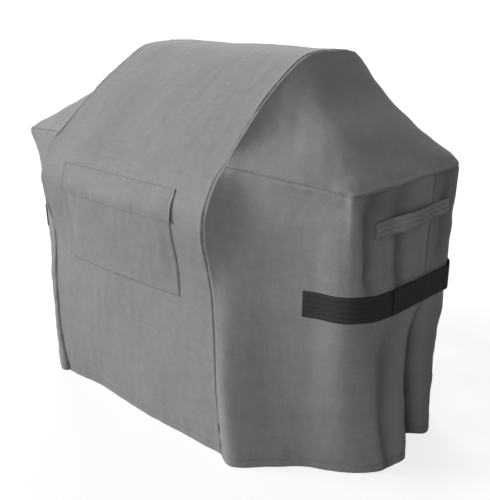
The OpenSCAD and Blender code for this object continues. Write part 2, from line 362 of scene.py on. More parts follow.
    def hip_low(self, v: Grid) -> Grid:
        """Points on a right hip's seam with the skirts, v from the front to the back."""
        f = np.clip(v / 0.56, 0, 1) * self.front_last
        r = np.clip((v - 0.56) / 0.44, 0, 1) * self.rear_last
        front = self.front_skirt(f, self.front_top(f), 0.0)
        rear = self.rear_skirt(r, self.rear_top(r))
        return np.where((v < 0.56)[:, None], front, rear)

    def hip_high_t(self, v: Grid) -> Grid:
        """Place along the side view where the hip meets the band."""
        return mix(self.junction_t, self.rear_junction_t, v + 0.05 * np.sin(2 * math.pi * v))

    def hip(self, u: Grid, v: Grid) -> Grid:
        """Points on a right hip's lining side.

        Args:
            u: From 0 at the band to 1 at the skirts.
            v: From 0 at the front to 1 at the back.

        Returns:
            The points.
        """
        a = self.band_edge(self.hip_high_t(v), self.half_gap)
        b = self.hip_low(v)
        wide = smooth(np.linalg.norm(b - a, axis=-1) / 0.300)
        d = 1 - u
        high = mix(0.003, 0.009, smooth((v - 0.60) / 0.16))
        shoulder = high * wide * smooth(d / 0.08) * (1 - smooth((d - 0.08) / 0.35))
        sag = mix(self.hip_sag, self.hip_sag / 3, smooth((v - 0.42) / 0.2))
        p = mix(a, b, u[:, None])
        p[:, 2] += shoulder - sag * wide * 6.75 * u * d * d
        return p

    def seam_line(self, t: Grid) -> Grid:
        """The bottom of the main seam's groove, where the band and the side panels meet."""
        ahead, behind = self.band_edge(t + 0.02, 0), self.band_edge(t - 0.02, 0)
        run = unit(ahead - behind)
        out = unit(np.stack([np.zeros(len(t)), -run[:, 2], run[:, 1]], -1))
        inward = unit(out + np.array([0.7, 0.0, 0.0]))
        return self.band_edge(t, self.half_gap) - inward * self.seam_depth

    def front_at(self, x: Grid, z: Grid, out: Grid) -> Grid:
        """Points that lie out metres in front of the band, at x and height z."""
        p = self.band(x / self.band_w(z), self.front_t(z))
        p[:, 1] -= out
        return p


# Cloth --------------------------------------------------------------------------------------
def outward_normals(grid: Grid, inside: Sequence[float] = (0.0, 0.091, 0.45)) -> Grid:
    """Normals of a grid of points that face away from the cover's inside."""
    normal = np.cross(np.gradient(grid, axis=0), np.gradient(grid, axis=1))
    size = np.linalg.norm(normal, axis=-1)
    for row, beside in ((0, 1), (-1, -2)):
        if size[row].max() < 0.05 * size[beside].max():
            normal[row] = normal[beside]
    normal = unit(normal)
    facing = (normal * (grid - np.array(inside))).sum(-1).mean()
    return normal if facing > 0 else -normal


def run_length(grid: Grid, axis: int) -> Grid:
    """Distance along the cloth from the first row or column, at each point."""
    step = np.linalg.norm(np.diff(grid, axis=axis), axis=-1)
    start = np.zeros_like(np.take(step, [0], axis))
    return np.concatenate([start, np.cumsum(step, axis)], axis)


def stepped(line: Grid, places: Grid, shares: Callable[[float], Grid]) -> Grid:
    """Places along a line that lie at shares of its length.

    Args:
        line: Points along the line, (n, 3).
        places: The place of each of them.
        shares: Gives the shares, from 0 to 1, for a length.

    Returns:
        A place for each share.
    """
    length = run_length(line[:, None], 0)[:, 0]
    return np.interp(shares(length[-1]) * length[-1], length, places)


def relaxed(grid: Grid, reach: int, share: float) -> Grid:
    """Evens out a grid along its rows' direction, most in its middle columns.

    Args:
        grid: The grid of points.
        reach: Rows to either side that are averaged.
        share: How far the middle columns go to the average.

    Returns:
        The evened grid.
    """
    kernel = np.hanning(2 * reach + 3)[1:-1]
    kernel /= kernel.sum()
    padded = np.concatenate([2 * grid[:1] - grid[reach:0:-1], grid,
                             2 * grid[-1:] - grid[-2:-2 - reach:-1]])
    even = sum(w * padded[k:k + len(grid)] for k, w in enumerate(kernel))
    across = run_length(grid, 1)
    middle = smooth(across / 0.10) * smooth((across[:, -1:] - across) / 0.10)
    return mix(grid, even, share * middle[..., None])


def activate(piece: bpy.types.Object) -> None:
    """Makes a piece the only selected one, and the active one."""
    bpy.ops.object.select_all(action="DESELECT")
    piece.select_set(True)
    bpy.context.view_layer.objects.active = piece


def placed(name: str, data: bpy.types.ID) -> bpy.types.Object:
    """Puts a new object with that name and data into the scene."""
    made = bpy.data.objects.new(name, data)
    bpy.context.scene.collection.objects.link(made)
    return made


def edit_all(piece: bpy.types.Object, operator: Callable, **settings: object) -> None:
    """Runs a mesh operator on the whole of a piece.

    Args:
        piece: The piece.
        operator: The operator.
        **settings: Its settings by name.
    """
    activate(piece)
    bpy.ops.object.mode_set(mode="EDIT")
    bpy.ops.mesh.select_all(action="SELECT")
    operator(**settings)
    bpy.ops.object.mode_set(mode="OBJECT")


def apply_modifier(piece: bpy.types.Object, kind: str, **settings: object) -> None:
    """Adds a modifier to a piece and applies it.

    Args:
        piece: The piece.
        kind: The modifier's type.
        **settings: Its settings by name.
    """
    modifier = piece.modifiers.new(kind.lower(), kind)
    for name, value in settings.items():
        setattr(modifier, name, value)
    activate(piece)
    bpy.ops.object.modifier_apply(modifier=modifier.name)


@dataclass
class Panel:
    """A cloth panel being shaped: a grid of points with distances along the cloth.

    Attributes:
        name: The piece's name.
        grid: Points of the outer face, (rows, columns, 3).
        normals: The outward direction at each point.
        across: Distance along the cloth from the first column, in metres.
        along: The same from the first row.
        wear: How worn the cloth is at each point, from 0 to 1.
        shade: Painted shade at each point, from 0 to 1: how much darker its colour is drawn in
            creases and shadowed hollows.
    """

    name: str
    grid: Grid
    normals: Grid = field(init=False)
    across: Grid = field(init=False)
    along: Grid = field(init=False)
    wear: Grid = field(init=False)
    shade: Grid = field(init=False)

    def __post_init__(self) -> None:
        """Measures the panel before it is shaped."""
        self.normals = outward_normals(self.grid)
        self.across = run_length(self.grid, 1)
        self.along = run_length(self.grid, 0)
        self.wear = np.zeros(self.grid.shape[:2])
        self.shade = np.zeros(self.grid.shape[:2])

    def from_edge(self, edge: Edge) -> Grid:
        """Distance along the cloth from an edge, at each point."""
        if edge is Edge.FIRST_ROW:
            return self.along
        if edge is Edge.LAST_ROW:
            return self.along[-1:, :] - self.along
        if edge is Edge.FIRST_COLUMN:
            return self.across
        return self.across[:, -1:] - self.across

    def beside_edge(self, edge: Edge) -> Grid:
        """Distance along the given edge's own direction, at each point."""
        return self.across if edge in (Edge.FIRST_ROW, Edge.LAST_ROW) else self.along

    def line(self, edge: Edge, away: float) -> tuple:
        """Picks the grid line that runs beside an edge.

        Args:
            edge: The edge.
            away: The line's distance from it, in metres.

        Returns:
            The line's points and their normals.
        """
        rows = edge in (Edge.FIRST_ROW, Edge.LAST_ROW)
        usual = np.median(self.from_edge(edge), axis=1 if rows else 0)
        k = int(np.argmin(np.abs(usual - away)))
        pick = (k, slice(None)) if rows else (slice(None), k)
        return self.grid[pick], self.normals[pick]

    def lift(self, height: Grid) -> None:
        """Moves the cloth out by a height at each point."""
        self.grid = self.grid + self.normals * np.broadcast_to(
            height, self.grid.shape[:2])[..., None]

    def pull(self, edge: Edge, line: Grid, share: Grid = 1.0, reach: float = 0.006) -> None:
        """Draws an edge onto a line, and the cloth near it along.

        Args:
            edge: The edge.
            line: A point for each point of the edge.
            share: How much of the way each point of the edge goes.
            reach: How far into the panel the pull reaches, in metres.
        """
        axis_row = edge in (Edge.FIRST_ROW, Edge.LAST_ROW)
        k = 0 if edge in (Edge.FIRST_ROW, Edge.FIRST_COLUMN) else -1
        now = self.grid[k, :] if axis_row else self.grid[:, k]
        shift = (line - now) * np.broadcast_to(share, len(now))[:, None]
        weight = (1 - smooth(self.from_edge(edge) / reach))[..., None]
        self.grid = self.grid + weight * (shift[None] if axis_row else shift[:, None])

    def sew(self, edge: Edge, seed: int, welt: float = 0.0011, pucker: float = 0.0006,
            share: Grid = 1.0) -> None:
        """Raises a welt beside a seam and gathers small puckers along it.

        Args:
            edge: The sewn edge.
            seed: Seed of the puckers.
            welt: Height of the welt, in metres.
            pucker: Height of the puckers, in metres.
            share: How much of both each point gets.
        """
        away, beside = self.from_edge(edge), self.beside_edge(edge)
        gathers = Ripples(seed, pucker, 0.030).at(beside, away * 0.2)
        self.lift(share * (welt * bell(away, 9 * MM, 6 * MM)
                           + gathers * np.exp(-away / 0.022) * smooth(away / 0.005)))
        self.wear = np.maximum(self.wear, share * bell(away, 0, 5 * MM))

    def hem(self, edge: Edge, seed: int, wide: float = 0.024, share: Grid = 1.0) -> None:
        """Folds a hem along an edge: a doubled strip with a stitched groove above it.

        Args:
            edge: The hemmed edge.
            seed: Seed of the puckers.
            wide: Width of the doubled strip, in metres.
            share: How much of the hem each point gets.
        """
        away = self.from_edge(edge)
        doubled = 0.0010 * (1 - smooth((away - wide + 0.002) / 0.003))
        groove = -0.0007 * bell(away, wide - 0.001, 0.0022)
        gathers = Ripples(seed, 0.0005, 0.034).at(self.beside_edge(edge), away * 0.3)
        self.lift(share * (doubled + groove + gathers * bell(away, wide, 0.022)))
        for worn, place, width in ((0.8, wide, 0.003), (0.5, 0, 0.004)):
            self.wear = np.maximum(self.wear, share * worn * bell(away, place, width))

    @property
    def area(self) -> float:
        """The panel's area in square metres."""
        a = self.grid[1:, 1:] - self.grid[:-1, :-1]
        b = self.grid[1:, :-1] - self.grid[:-1, 1:]
        return float(0.5 * np.linalg.norm(np.cross(a, b), axis=-1).sum())

    def build(self, thickness: float, mirrored: bool = False) -> bpy.types.Object:
        """Makes the panel a closed sheet of a thickness, set back from its outer face.

        Args:
            thickness: The cloth's thickness in metres.
            mirrored: Whether the panel is turned over to the left side.

        Returns:
            The finished piece, without a material.
        """
        rows, columns = self.grid.shape[:2]
        points = self.grid.reshape(-1, 3).copy()
        points[:, 2] = np.maximum(points[:, 2], 0.0)
        if mirrored:
            points[:, 0] *= -1
        index = np.arange(rows * columns).reshape(rows, columns)
        quads = np.stack([index[:-1, :-1], index[:-1, 1:], index[1:, 1:], index[1:, :-1]], -1)
        quads = quads.reshape(-1, 4)
        p = points[quads]
        face_out = np.cross(p[:, 2] - p[:, 0], p[:, 3] - p[:, 1])
        wanted = self.normals.reshape(-1, 3)[quads[:, 0]] * ([-1, 1, 1] if mirrored else 1)
        if (face_out * wanted).sum() < 0:
            quads = quads[:, ::-1]
        mesh = bpy.data.meshes.new(self.name)
        mesh.from_pydata(points.tolist(), [], quads.tolist())
        loops = np.zeros(len(mesh.loops), np.int32)
        mesh.loops.foreach_get("vertex_index", loops)
        cloth_uv = np.stack([self.across, self.along], -1).reshape(-1, 2)
        layer = mesh.uv_layers.new(name="cloth")
        layer.data.foreach_set("uv", cloth_uv[loops].astype(np.float32).ravel())
        # The shade attribute carries painted shade to the cloth's material
        for field_name, values in (("wear", self.wear), ("shade", self.shade)):
            layer = mesh.attributes.new(field_name, "FLOAT", "POINT")
            layer.data.foreach_set("value", np.clip(values, 0, 1).astype(np.float32).ravel())
        piece = placed(self.name, mesh)
        edit_all(piece, bpy.ops.mesh.remove_doubles, threshold=1e-5)
        apply_modifier(piece, "SOLIDIFY", thickness=thickness, offset=-1.0)
        bpy.ops.object.shade_smooth_by_angle(angle=math.radians(48))
        return piece


# Finishes -----------------------------------------------------------------------------------
class Board:
    """A material's nodes, with short ways to add and join them."""

    def __init__(self, name: str) -> None:
        """Starts a material of that name with its shader and output."""
        self.material = bpy.data.materials.new(name)
        self.material.use_nodes = True
        self.tree = self.material.node_tree
        self.shader = self.tree.nodes["Principled BSDF"]

    def node(self, kind: str, inputs: Optional[dict] = None,
             **settings: object) -> bpy.types.Node:
        """Adds a node.

        Args:
            kind: Its type, without the ShaderNode in front.
            inputs: Values or sockets for its inputs, by name or index.
            **settings: Its settings by name.

        Returns:
            The node.
        """
        node = self.tree.nodes.new("ShaderNode" + kind)
        for name, value in settings.items():
            setattr(node, name, value)
        for key, value in (inputs or {}).items():
            if isinstance(value, Socket):
                self.tree.links.new(value, node.inputs[key])
            else:
                node.inputs[key].default_value = value
        return node

    def maths(self, operation: str, *values: object) -> Socket:
        """The result of a sum on numbers or sockets."""
        node = self.node("Math", dict(enumerate(values)), operation=operation)
        return node.outputs[0]

    def stretched(self, place: Socket, scale: Sequence[float],
                  turn: float = 0.0) -> Socket:
        """A place scaled along its axes and turned in its plane."""
        inputs = {"Vector": place, "Scale": scale, "Rotation": (0, 0, turn)}
        return self.node("Mapping", inputs).outputs[0]

    def noise(self, place: Socket, scale: float, detail: float = 3.0,
              rough: float = 0.55) -> Socket:
        """Noise around 0.5 at a place."""
        inputs = {"Vector": place, "Scale": scale, "Detail": detail, "Roughness": rough}
        return self.node("TexNoise", inputs).outputs[0]

    def wave(self, place: Socket, scale: float,
             direction: str) -> Socket:
        """Even bands across a place's x or y."""
        inputs = {"Vector": place, "Scale": scale, "Distortion": 0.0}
        return self.node("TexWave", inputs, bands_direction=direction).outputs[1]

    def cloth_place(self) -> Socket:
        """Places on a sheet, in metres across and along its cloth."""
        return self.node("UVMap", uv_map="cloth").outputs[0]

    def attribute(self, name: str) -> Socket:
        """A value that a sheet keeps at its points."""
        return self.node("Attribute", attribute_name=name).outputs["Fac"]

    def between(self, value: Socket, low: float, high: float) -> Socket:
        """Turns a value from 0 to 1 into one from low to high."""
        return self.node("MapRange", {"Value": value, "To Min": low, "To Max": high}).outputs[0]

    def swing(self, value: Socket, amount: float) -> Socket:
        """Turns noise around 0.5 into a factor around 1 that swings by an amount."""
        return self.node("MapRange", {"Value": value, "From Min": 0.25, "From Max": 0.75,
                                      "To Min": 1 - amount, "To Max": 1 + amount}).outputs[0]

    def tinted(self, colour: Sequence[float],
               *factors: Socket) -> Socket:
        """A colour times each factor."""
        total = factors[0]
        for factor in factors[1:]:
            total = self.maths("MULTIPLY", total, factor)
        grey = self.node("CombineXYZ", {0: total, 1: total, 2: total}).outputs[0]
        scaled = self.node("VectorMath", {0: tuple(colour[:3]), 1: grey},
                           operation="MULTIPLY")
        return scaled.outputs[0]

    def finish(self, colour: Socket, rough: Socket,
               height: Socket, depth: float, strength: float) -> None:
        """Joins colour, roughness and a bump of that depth, in metres, to the shader."""
        bump = self.node("Bump", {"Height": height, "Distance": depth, "Strength": strength})
        for name, socket in (("Base Color", colour), ("Roughness", rough),
                             ("Normal", bump.outputs[0])):
            self.tree.links.new(socket, self.shader.inputs[name])


@dataclass(frozen=True)
class ClothFinish:
    """Grey woven polyester with a suede-like bloom: mottled, streaked along both threads.

    Attributes:
        name: The material's name.
        colour: Its base colour.
        weave: Threads in a metre.
        mottle: How much the cloth's tone varies from patch to patch.
        grain: How much it varies from speck to speck.
        streak: How much it varies along both threads.
        wear: How much darker a worn edge is.
        nap: How much darker painted shade makes a fully shaded place.
        sheen: Strength of the bloom seen at a slant.
        gloss: Strength of its shine.
        crumple: Height of its small creases, beside the pile's.
        depth: Depth of its relief, in metres.
    """

    name: str = "cover_cloth"
    colour: tuple = (0.222, 0.222, 0.224)
    weave: float = 1100.0
    mottle: float = 0.06
    grain: float = 0.10
    streak: float = 0.07
    wear: float = 0.30
    nap: float = 0.62
    sheen: float = 0.16
    gloss: float = 0.35
    crumple: float = 1.1
    depth: float = 0.0010

    def make(self) -> bpy.types.Material:
        """Builds the material.

        Returns:
            The material.
        """
        b = Board(self.name)
        place = b.cloth_place()
        cloudy = b.swing(b.noise(place, 7.0, 4.0), self.mottle * 0.6)
        mottled = b.swing(b.noise(place, 42.0, 4.0, 0.6), self.mottle)
        grainy = b.swing(b.noise(place, 260.0, 3.0, 0.6), self.grain)
        weft = b.swing(b.noise(b.stretched(place, (5, 210, 1)), 1.0, 3.0, 0.7), self.streak)
        warp = b.swing(b.noise(b.stretched(place, (230, 4, 1)), 1.0, 3.0, 0.7), self.streak)
        over = b.wave(place, self.weave / 20, "X")
        under = b.wave(place, self.weave / 20, "Y")
        threads = b.maths("MULTIPLY", over, under)
        woven = b.between(threads, 0.97, 1.03)
        patchy = b.maths("MULTIPLY", b.attribute("wear"), b.noise(place, 55.0, 2.0))
        worn = b.between(patchy, 1.0, 1 - self.wear)
        # Painted shade: the shade attribute darkens the colour in creases and shadowed hollows
        laid = b.between(b.attribute("shade"), 1.0, 1 - self.nap)
        colour = b.tinted(self.colour, cloudy, mottled, grainy, weft, warp, woven, worn, laid)
        rough = b.between(b.noise(place, 90.0), 0.62, 0.92)
        crumple = b.maths("MULTIPLY", b.noise(place, 34.0, 5.0, 0.6), self.crumple)
        slubs = b.maths("ADD", b.noise(b.stretched(place, (30, 600, 1)), 1.0, 2.0),
                        b.noise(b.stretched(place, (600, 30, 1)), 1.0, 2.0))
        pile = b.maths("ADD", b.maths("MULTIPLY", slubs, 0.6), b.maths("MULTIPLY", threads, 0.3))
        b.finish(colour, rough, b.maths("ADD", crumple, pile), self.depth, 0.5)
        for name, value in (("Specular IOR Level", self.gloss), ("Sheen Weight", self.sheen),
                            ("Sheen Roughness", 0.5)):
            b.shader.inputs[name].default_value = value
        return b.material


@dataclass(frozen=True)
class WebbingFinish:
    """Woven polyester webbing: ribs across it, a finer twill, and darker worn patches.

    Attributes:
        name: The material's name.
        colour: Its base colour.
        rib: Ribs in a metre.
        mottle: How much its tone varies.
        gloss: Strength of its shine.
        depth: Depth of its relief, in metres.
    """

    name: str
    colour: tuple
    rib: float = 420.0
    mottle: float = 0.14
    gloss: float = 0.30
    depth: float = 0.0006

    def make(self) -> bpy.types.Material:
        """Builds the material.

        Returns:
            The material.
        """
        b = Board(self.name)
        place = b.cloth_place()
        ribs = b.wave(place, self.rib / 20, "X")
        twill = b.wave(b.stretched(place, (1, 1, 1), 0.9), self.rib / 11, "Y")
        cloudy = b.swing(b.noise(place, 16.0, 3.0), self.mottle)
        grainy = b.swing(b.noise(place, 240.0, 3.0, 0.6), self.mottle * 0.9)
        streak = b.swing(b.noise(b.stretched(place, (6, 260, 1)), 1.0, 2.0), 0.07)
        ribbed = b.between(ribs, 0.86, 1.10)
        worn = b.between(b.attribute("wear"), 1.0, 0.72)
        colour = b.tinted(self.colour, cloudy, grainy, streak, ribbed, worn)
        rough = b.between(b.noise(place, 120.0), 0.5, 0.8)
        height = b.maths("ADD", ribs, b.maths("MULTIPLY", twill, 0.5))
        b.finish(colour, rough, height, self.depth, 0.5)
        b.shader.inputs["Specular IOR Level"].default_value = self.gloss
        return b.material


@dataclass(frozen=True)
class TapeFinish:
    """Hook and loop tape: a fuzzy black pile in short rows."""

    name: str = "closure_tape"
    colour: tuple = (0.016, 0.016, 0.017)

    def make(self) -> bpy.types.Material:
        """Builds the material.

        Returns:
            The material.
        """
        b = Board(self.name)
        place = b.cloth_place()
        pile = b.noise(place, 1300.0, 2.0, 0.7)
        rows = b.wave(place, 26.0, "Y")
        colour = b.tinted(self.colour, b.swing(pile, 0.35), b.swing(b.noise(place, 60.0), 0.12))
        rough = b.between(pile, 0.75, 0.98)
        b.finish(colour, rough, b.maths("ADD", pile, b.maths("MULTIPLY", rows, 0.4)), 0.0008, 0.8)
        return b.material


@dataclass(frozen=True)
class ThreadFinish:
    """Sewing thread with its twist."""

    name: str
    colour: tuple

    def make(self) -> bpy.types.Material:
        """Builds the material.

        Returns:
            The material.
        """
        b = Board(self.name)
        place = b.node("TexCoord").outputs["Object"]
        twist = b.wave(b.stretched(place, (1, 1, 1), 0.8), 55.0, "X")
        shade = b.swing(b.noise(place, 300.0), 0.2)
        twisted = b.between(twist, 0.8, 1.1)
        rough = b.between(twist, 0.55, 0.75)
        b.finish(b.tinted(self.colour, shade, twisted), rough, twist, 0.0003, 0.5)
        return b.material


@dataclass(frozen=True)
class Finishes:
    """All the cover's finished materials."""

    cloth: bpy.types.Material
    handle: bpy.types.Material
    strap: bpy.types.Material
    tape: bpy.types.Material
    dark_thread: bpy.types.Material
    grey_thread: bpy.types.Material

    @classmethod
    def make(cls) -> "Finishes":
        """Builds every material once."""
        return cls(
            cloth=ClothFinish().make(),
            handle=WebbingFinish("handle_webbing", (0.235, 0.235, 0.238)).make(),
            strap=WebbingFinish("strap_webbing", (0.026, 0.026, 0.027), mottle=0.10,
                                gloss=0.4).make(),
            tape=TapeFinish().make(),
            dark_thread=ThreadFinish("dark_thread", (0.035, 0.035, 0.037)).make(),
            grey_thread=ThreadFinish("grey_thread", (0.165, 0.165, 0.167)).make(),
        )


def dress(piece: bpy.types.Object, material: bpy.types.Material) -> None:
    """Gives a piece its material and its slot, and reports it."""
    piece.data.materials.clear()
    piece.data.materials.append(material)
    log.info("%s: %d faces", piece.name, len(piece.data.polygons))


# Stitching ----------------------------------------------------------------------------------
@dataclass
class Stitching:
    """Rows of thread stitches, all copies of one stitch.

    Attributes:
        shape_points: The stitch's points, for a length and thickness of a metre.
        shape_faces: Its faces.
    """

    shape_points: Grid = field(init=False)
    shape_faces: list = field(init=False)

    def __post_init__(self) -> None:
        """Models one stitch, a metre long and a metre thick, that dips in at its ends."""
        bpy.ops.object.select_all(action="DESELECT")
        bpy.ops.mesh.primitive_cylinder_add(vertices=6, radius=0.5, depth=1.0,
                                            rotation=(0, math.pi / 2, 0))
        stitch = bpy.context.object
        bpy.ops.object.transform_apply(location=True, rotation=True, scale=True)
        for cut in (-0.26, 0.26):
            edit_all(stitch, bpy.ops.mesh.bisect, plane_co=(cut, 0, 0), plane_no=(1, 0, 0))
        points = np.array([v.co for v in stitch.data.vertices])
        ends = np.abs(points[:, 0]) > 0.4
        points[ends, 1:] *= 0.45
        points[ends, 2] -= 0.5
        self.shape_points = points
        self.shape_faces = [list(f.vertices) for f in stitch.data.polygons]
        bpy.data.objects.remove(stitch, do_unlink=True)

    def row(self, name: str, path: Grid, normals: Grid, pitch: float, length: float,
            thick: float, material: bpy.types.Material, slot: str) -> bpy.types.Object:
        """Lays a row of stitches along a path.

        Args:
            name: The piece's name.
            path: Points along the row.
            normals: The cloth's normal at each.
            pitch: Distance from one stitch to the next.
            length: Length of a stitch.
            thick: Thickness of the thread.
            material: The thread's material.
            slot: The record's material slot; not used.

        Returns:
            The row, one mesh.
        """
        distance = np.concatenate([[0], np.cumsum(np.linalg.norm(np.diff(path, axis=0), axis=1))])
        count = max(1, int(distance[-1] / pitch))
        middle = (np.arange(count) + 0.5) * distance[-1] / count

        def at(values: Grid, where: Grid) -> Grid:
            """Values along the path, at distances from its start."""
            return np.stack([np.interp(where, distance, values[:, k]) for k in range(3)], -1)

        start, end = at(path, middle - length / 2), at(path, middle + length / 2)
        run = unit(end - start)
        up = unit(at(normals, middle))
        side = unit(np.cross(up, run))
        up = np.cross(run, side)
        local = self.shape_points * np.array([length, thick, thick])
        centre = (start + end) / 2
        points = (centre[:, None] + local[None, :, 0:1] * run[:, None]
                  + local[None, :, 1:2] * side[:, None] + local[None, :, 2:3] * up[:, None])
        step = len(local)
        faces = [[v + k * step for v in f] for k in range(count) for f in self.shape_faces]
        mesh = bpy.data.meshes.new(name)
        mesh.from_pydata(points.reshape(-1, 3).tolist(), [], faces)
        piece = placed(name, mesh)
        edit_all(piece, bpy.ops.mesh.normals_make_consistent, inside=False)
        bpy.ops.object.shade_smooth_by_angle(angle=math.radians(60))
        dress(piece, material)
        return piece


def turned_over(points: Grid, side: Side) -> Grid:
    """Points or directions of the right side, turned over to a side."""
    return points * np.array([side.value, 1, 1])


def grid_of(surface: Callable[[Grid, Grid], Grid], rows: Grid, columns: Grid) -> Grid:
    """A grid of points on a surface of two numbers, rows by columns."""
    r, c = np.meshgrid(rows, columns, indexing="ij")
    return surface(r.ravel(), c.ravel()).reshape(len(rows), len(columns), 3)


def sew_paths(stitching: Stitching, name: str, paths: Sequence[tuple], side: Side,
              material: bpy.types.Material, slot: str, pitch: float = 0.0048,
              length: float = 0.0036) -> bpy.types.Object:
    """Sews stitches along several paths and joins them into one piece.

    Args:
        stitching: The maker of stitches.
        name: The piece's name.
        paths: Pairs of points and normals, on the right side.
        side: The side that they are turned over to.
        material: The thread's material.
        slot: The record's material slot.
        pitch: Distance from one stitch to the next.
        length: Length of a stitch.

    Returns:
        The stitches, one piece.
    """
    made = [stitching.row(f"{name}_{k}", turned_over(path + normal * 0.0002, side),
                          turned_over(normal, side), pitch, length, 0.0010, material, slot)
            for k, (path, normal) in enumerate(paths)]
    activate(made[0])
    for piece in made[1:]:
        piece.select_set(True)
    if len(made) > 1:
        bpy.ops.object.join()
    made[0].name = name
    return made[0]


# The panels ---------------------------------------------------------------------------------
CLOTH_SLOT, HANDLE_SLOT = "cover_cloth", "handle_webbing"
STRAP_SLOT, TAPE_SLOT = "strap_webbing", "closure_tape"
# Distance of a hem's stitches from its edge, from one to the next, and their length
HEM_AWAY, HEM_PITCH, HEM_STITCH = 0.023, 0.0075, 0.0050


@dataclass
class SubAssembly:
    """What every sub-assembly of the cover is made with.

    Attributes:
        shape: The cover's shape.
        finishes: Its materials.
        stitching: The maker of stitches.
    """

    shape: CoverShape
    finishes: Finishes
    stitching: Stitching


@dataclass
class CentreBand(SubAssembly):
    """The band that runs from the front hem over the hood to the back hem.

    Attributes:
        step: Usual distance between the mesh's points.
        thickness: The cloth's thickness.
        width: The band's usual width.
    """

    step: float = 0.009
    thickness: float = 0.0014
    width: float = 0.77

    @staticmethod
    def unevenness(across: Grid, along: Grid) -> Grid:
        """How far the band's cloth lies off its even shape, over the ground and the pocket."""
        return (Ripples(3, 0.0011, 0.30, 0.6).at(across, along)
                + Ripples(4, 0.00035, 0.070, 0.7).at(across, along))

    def build(self) -> None:
        """Builds the band as one sheet."""
        shape = self.shape
        last = len(BAND_SIDE_VIEW) - 1
        even = np.linspace(0, last, 4000)
        rows = stepped(shape.band(np.zeros(len(even)), even), even,
                       lambda length: spread(length, self.step))
        columns = spread(self.width, self.step) * 2 - 1
        grid = grid_of(lambda t, a: shape.band(a * (1 + shape.half_gap / 0.38), t), rows, columns)
        panel = Panel("centre_cloth", grid)
        panel.lift(self.unevenness(grid[..., 0], grid[..., 2] + (rows[:, None] > 14) * 3.0))
        for edge, seed in ((Edge.FIRST_COLUMN, 21), (Edge.LAST_COLUMN, 22)):
            panel.sew(edge, seed, welt=0.0006)
        panel.hem(Edge.FIRST_ROW, 23)
        panel.hem(Edge.LAST_ROW, 24)
        hem_wave = Ripples(25, 0.0035, 0.42, 1.0).at(grid[..., 0], 0 * grid[..., 0])
        panel.lift(hem_wave * np.exp(-panel.grid[..., 2] / 0.12)
                   * smooth((0.38 - np.abs(grid[..., 0])) / 0.06))
        seam = shape.seam_line(rows)
        panel.pull(Edge.LAST_COLUMN, seam)
        panel.pull(Edge.FIRST_COLUMN, seam * np.array([-1, 1, 1]))
        piece = panel.build(self.thickness)
        dress(piece, self.finishes.cloth)
        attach(piece, "cover")
        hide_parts("centre_panel")
        hems = sew_paths(self.stitching, "centre_hem_stitches",
                         [panel.line(edge, HEM_AWAY) for edge in (Edge.FIRST_ROW, Edge.LAST_ROW)],
                         Side.RIGHT, self.finishes.grey_thread, CLOTH_SLOT, HEM_PITCH, HEM_STITCH)
        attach(hems, "cover")


@dataclass(frozen=True)
class Fold:
    """A long fold or crease in a skirt, upright.

    Attributes:
        at: Column where it lies.
        wide: Its width in columns.
        out: How far it stands out, or in if below 0, in metres.
        low: Height of its lower end.
        high: Height of its upper end.
        lean: Columns that it moves by, from its lower to its upper end.
        dark: How much painted shade darkens the cloth's colour in it, from 0 to 1.
    """

    at: float
    wide: float
    out: float
    low: float
    high: float
    lean: float = 0.0
    dark: float = 0.0

    def form(self, t: Grid, z: Grid) -> Grid:
        """The fold's form, up to 1, at columns t and heights z."""
        share = (z - self.low) / (self.high - self.low)
        fade = smooth(share / 0.25) * smooth((1 - share) / 0.25)
        return fade * bell(t, self.at + self.lean * (share - 0.5), self.wide)


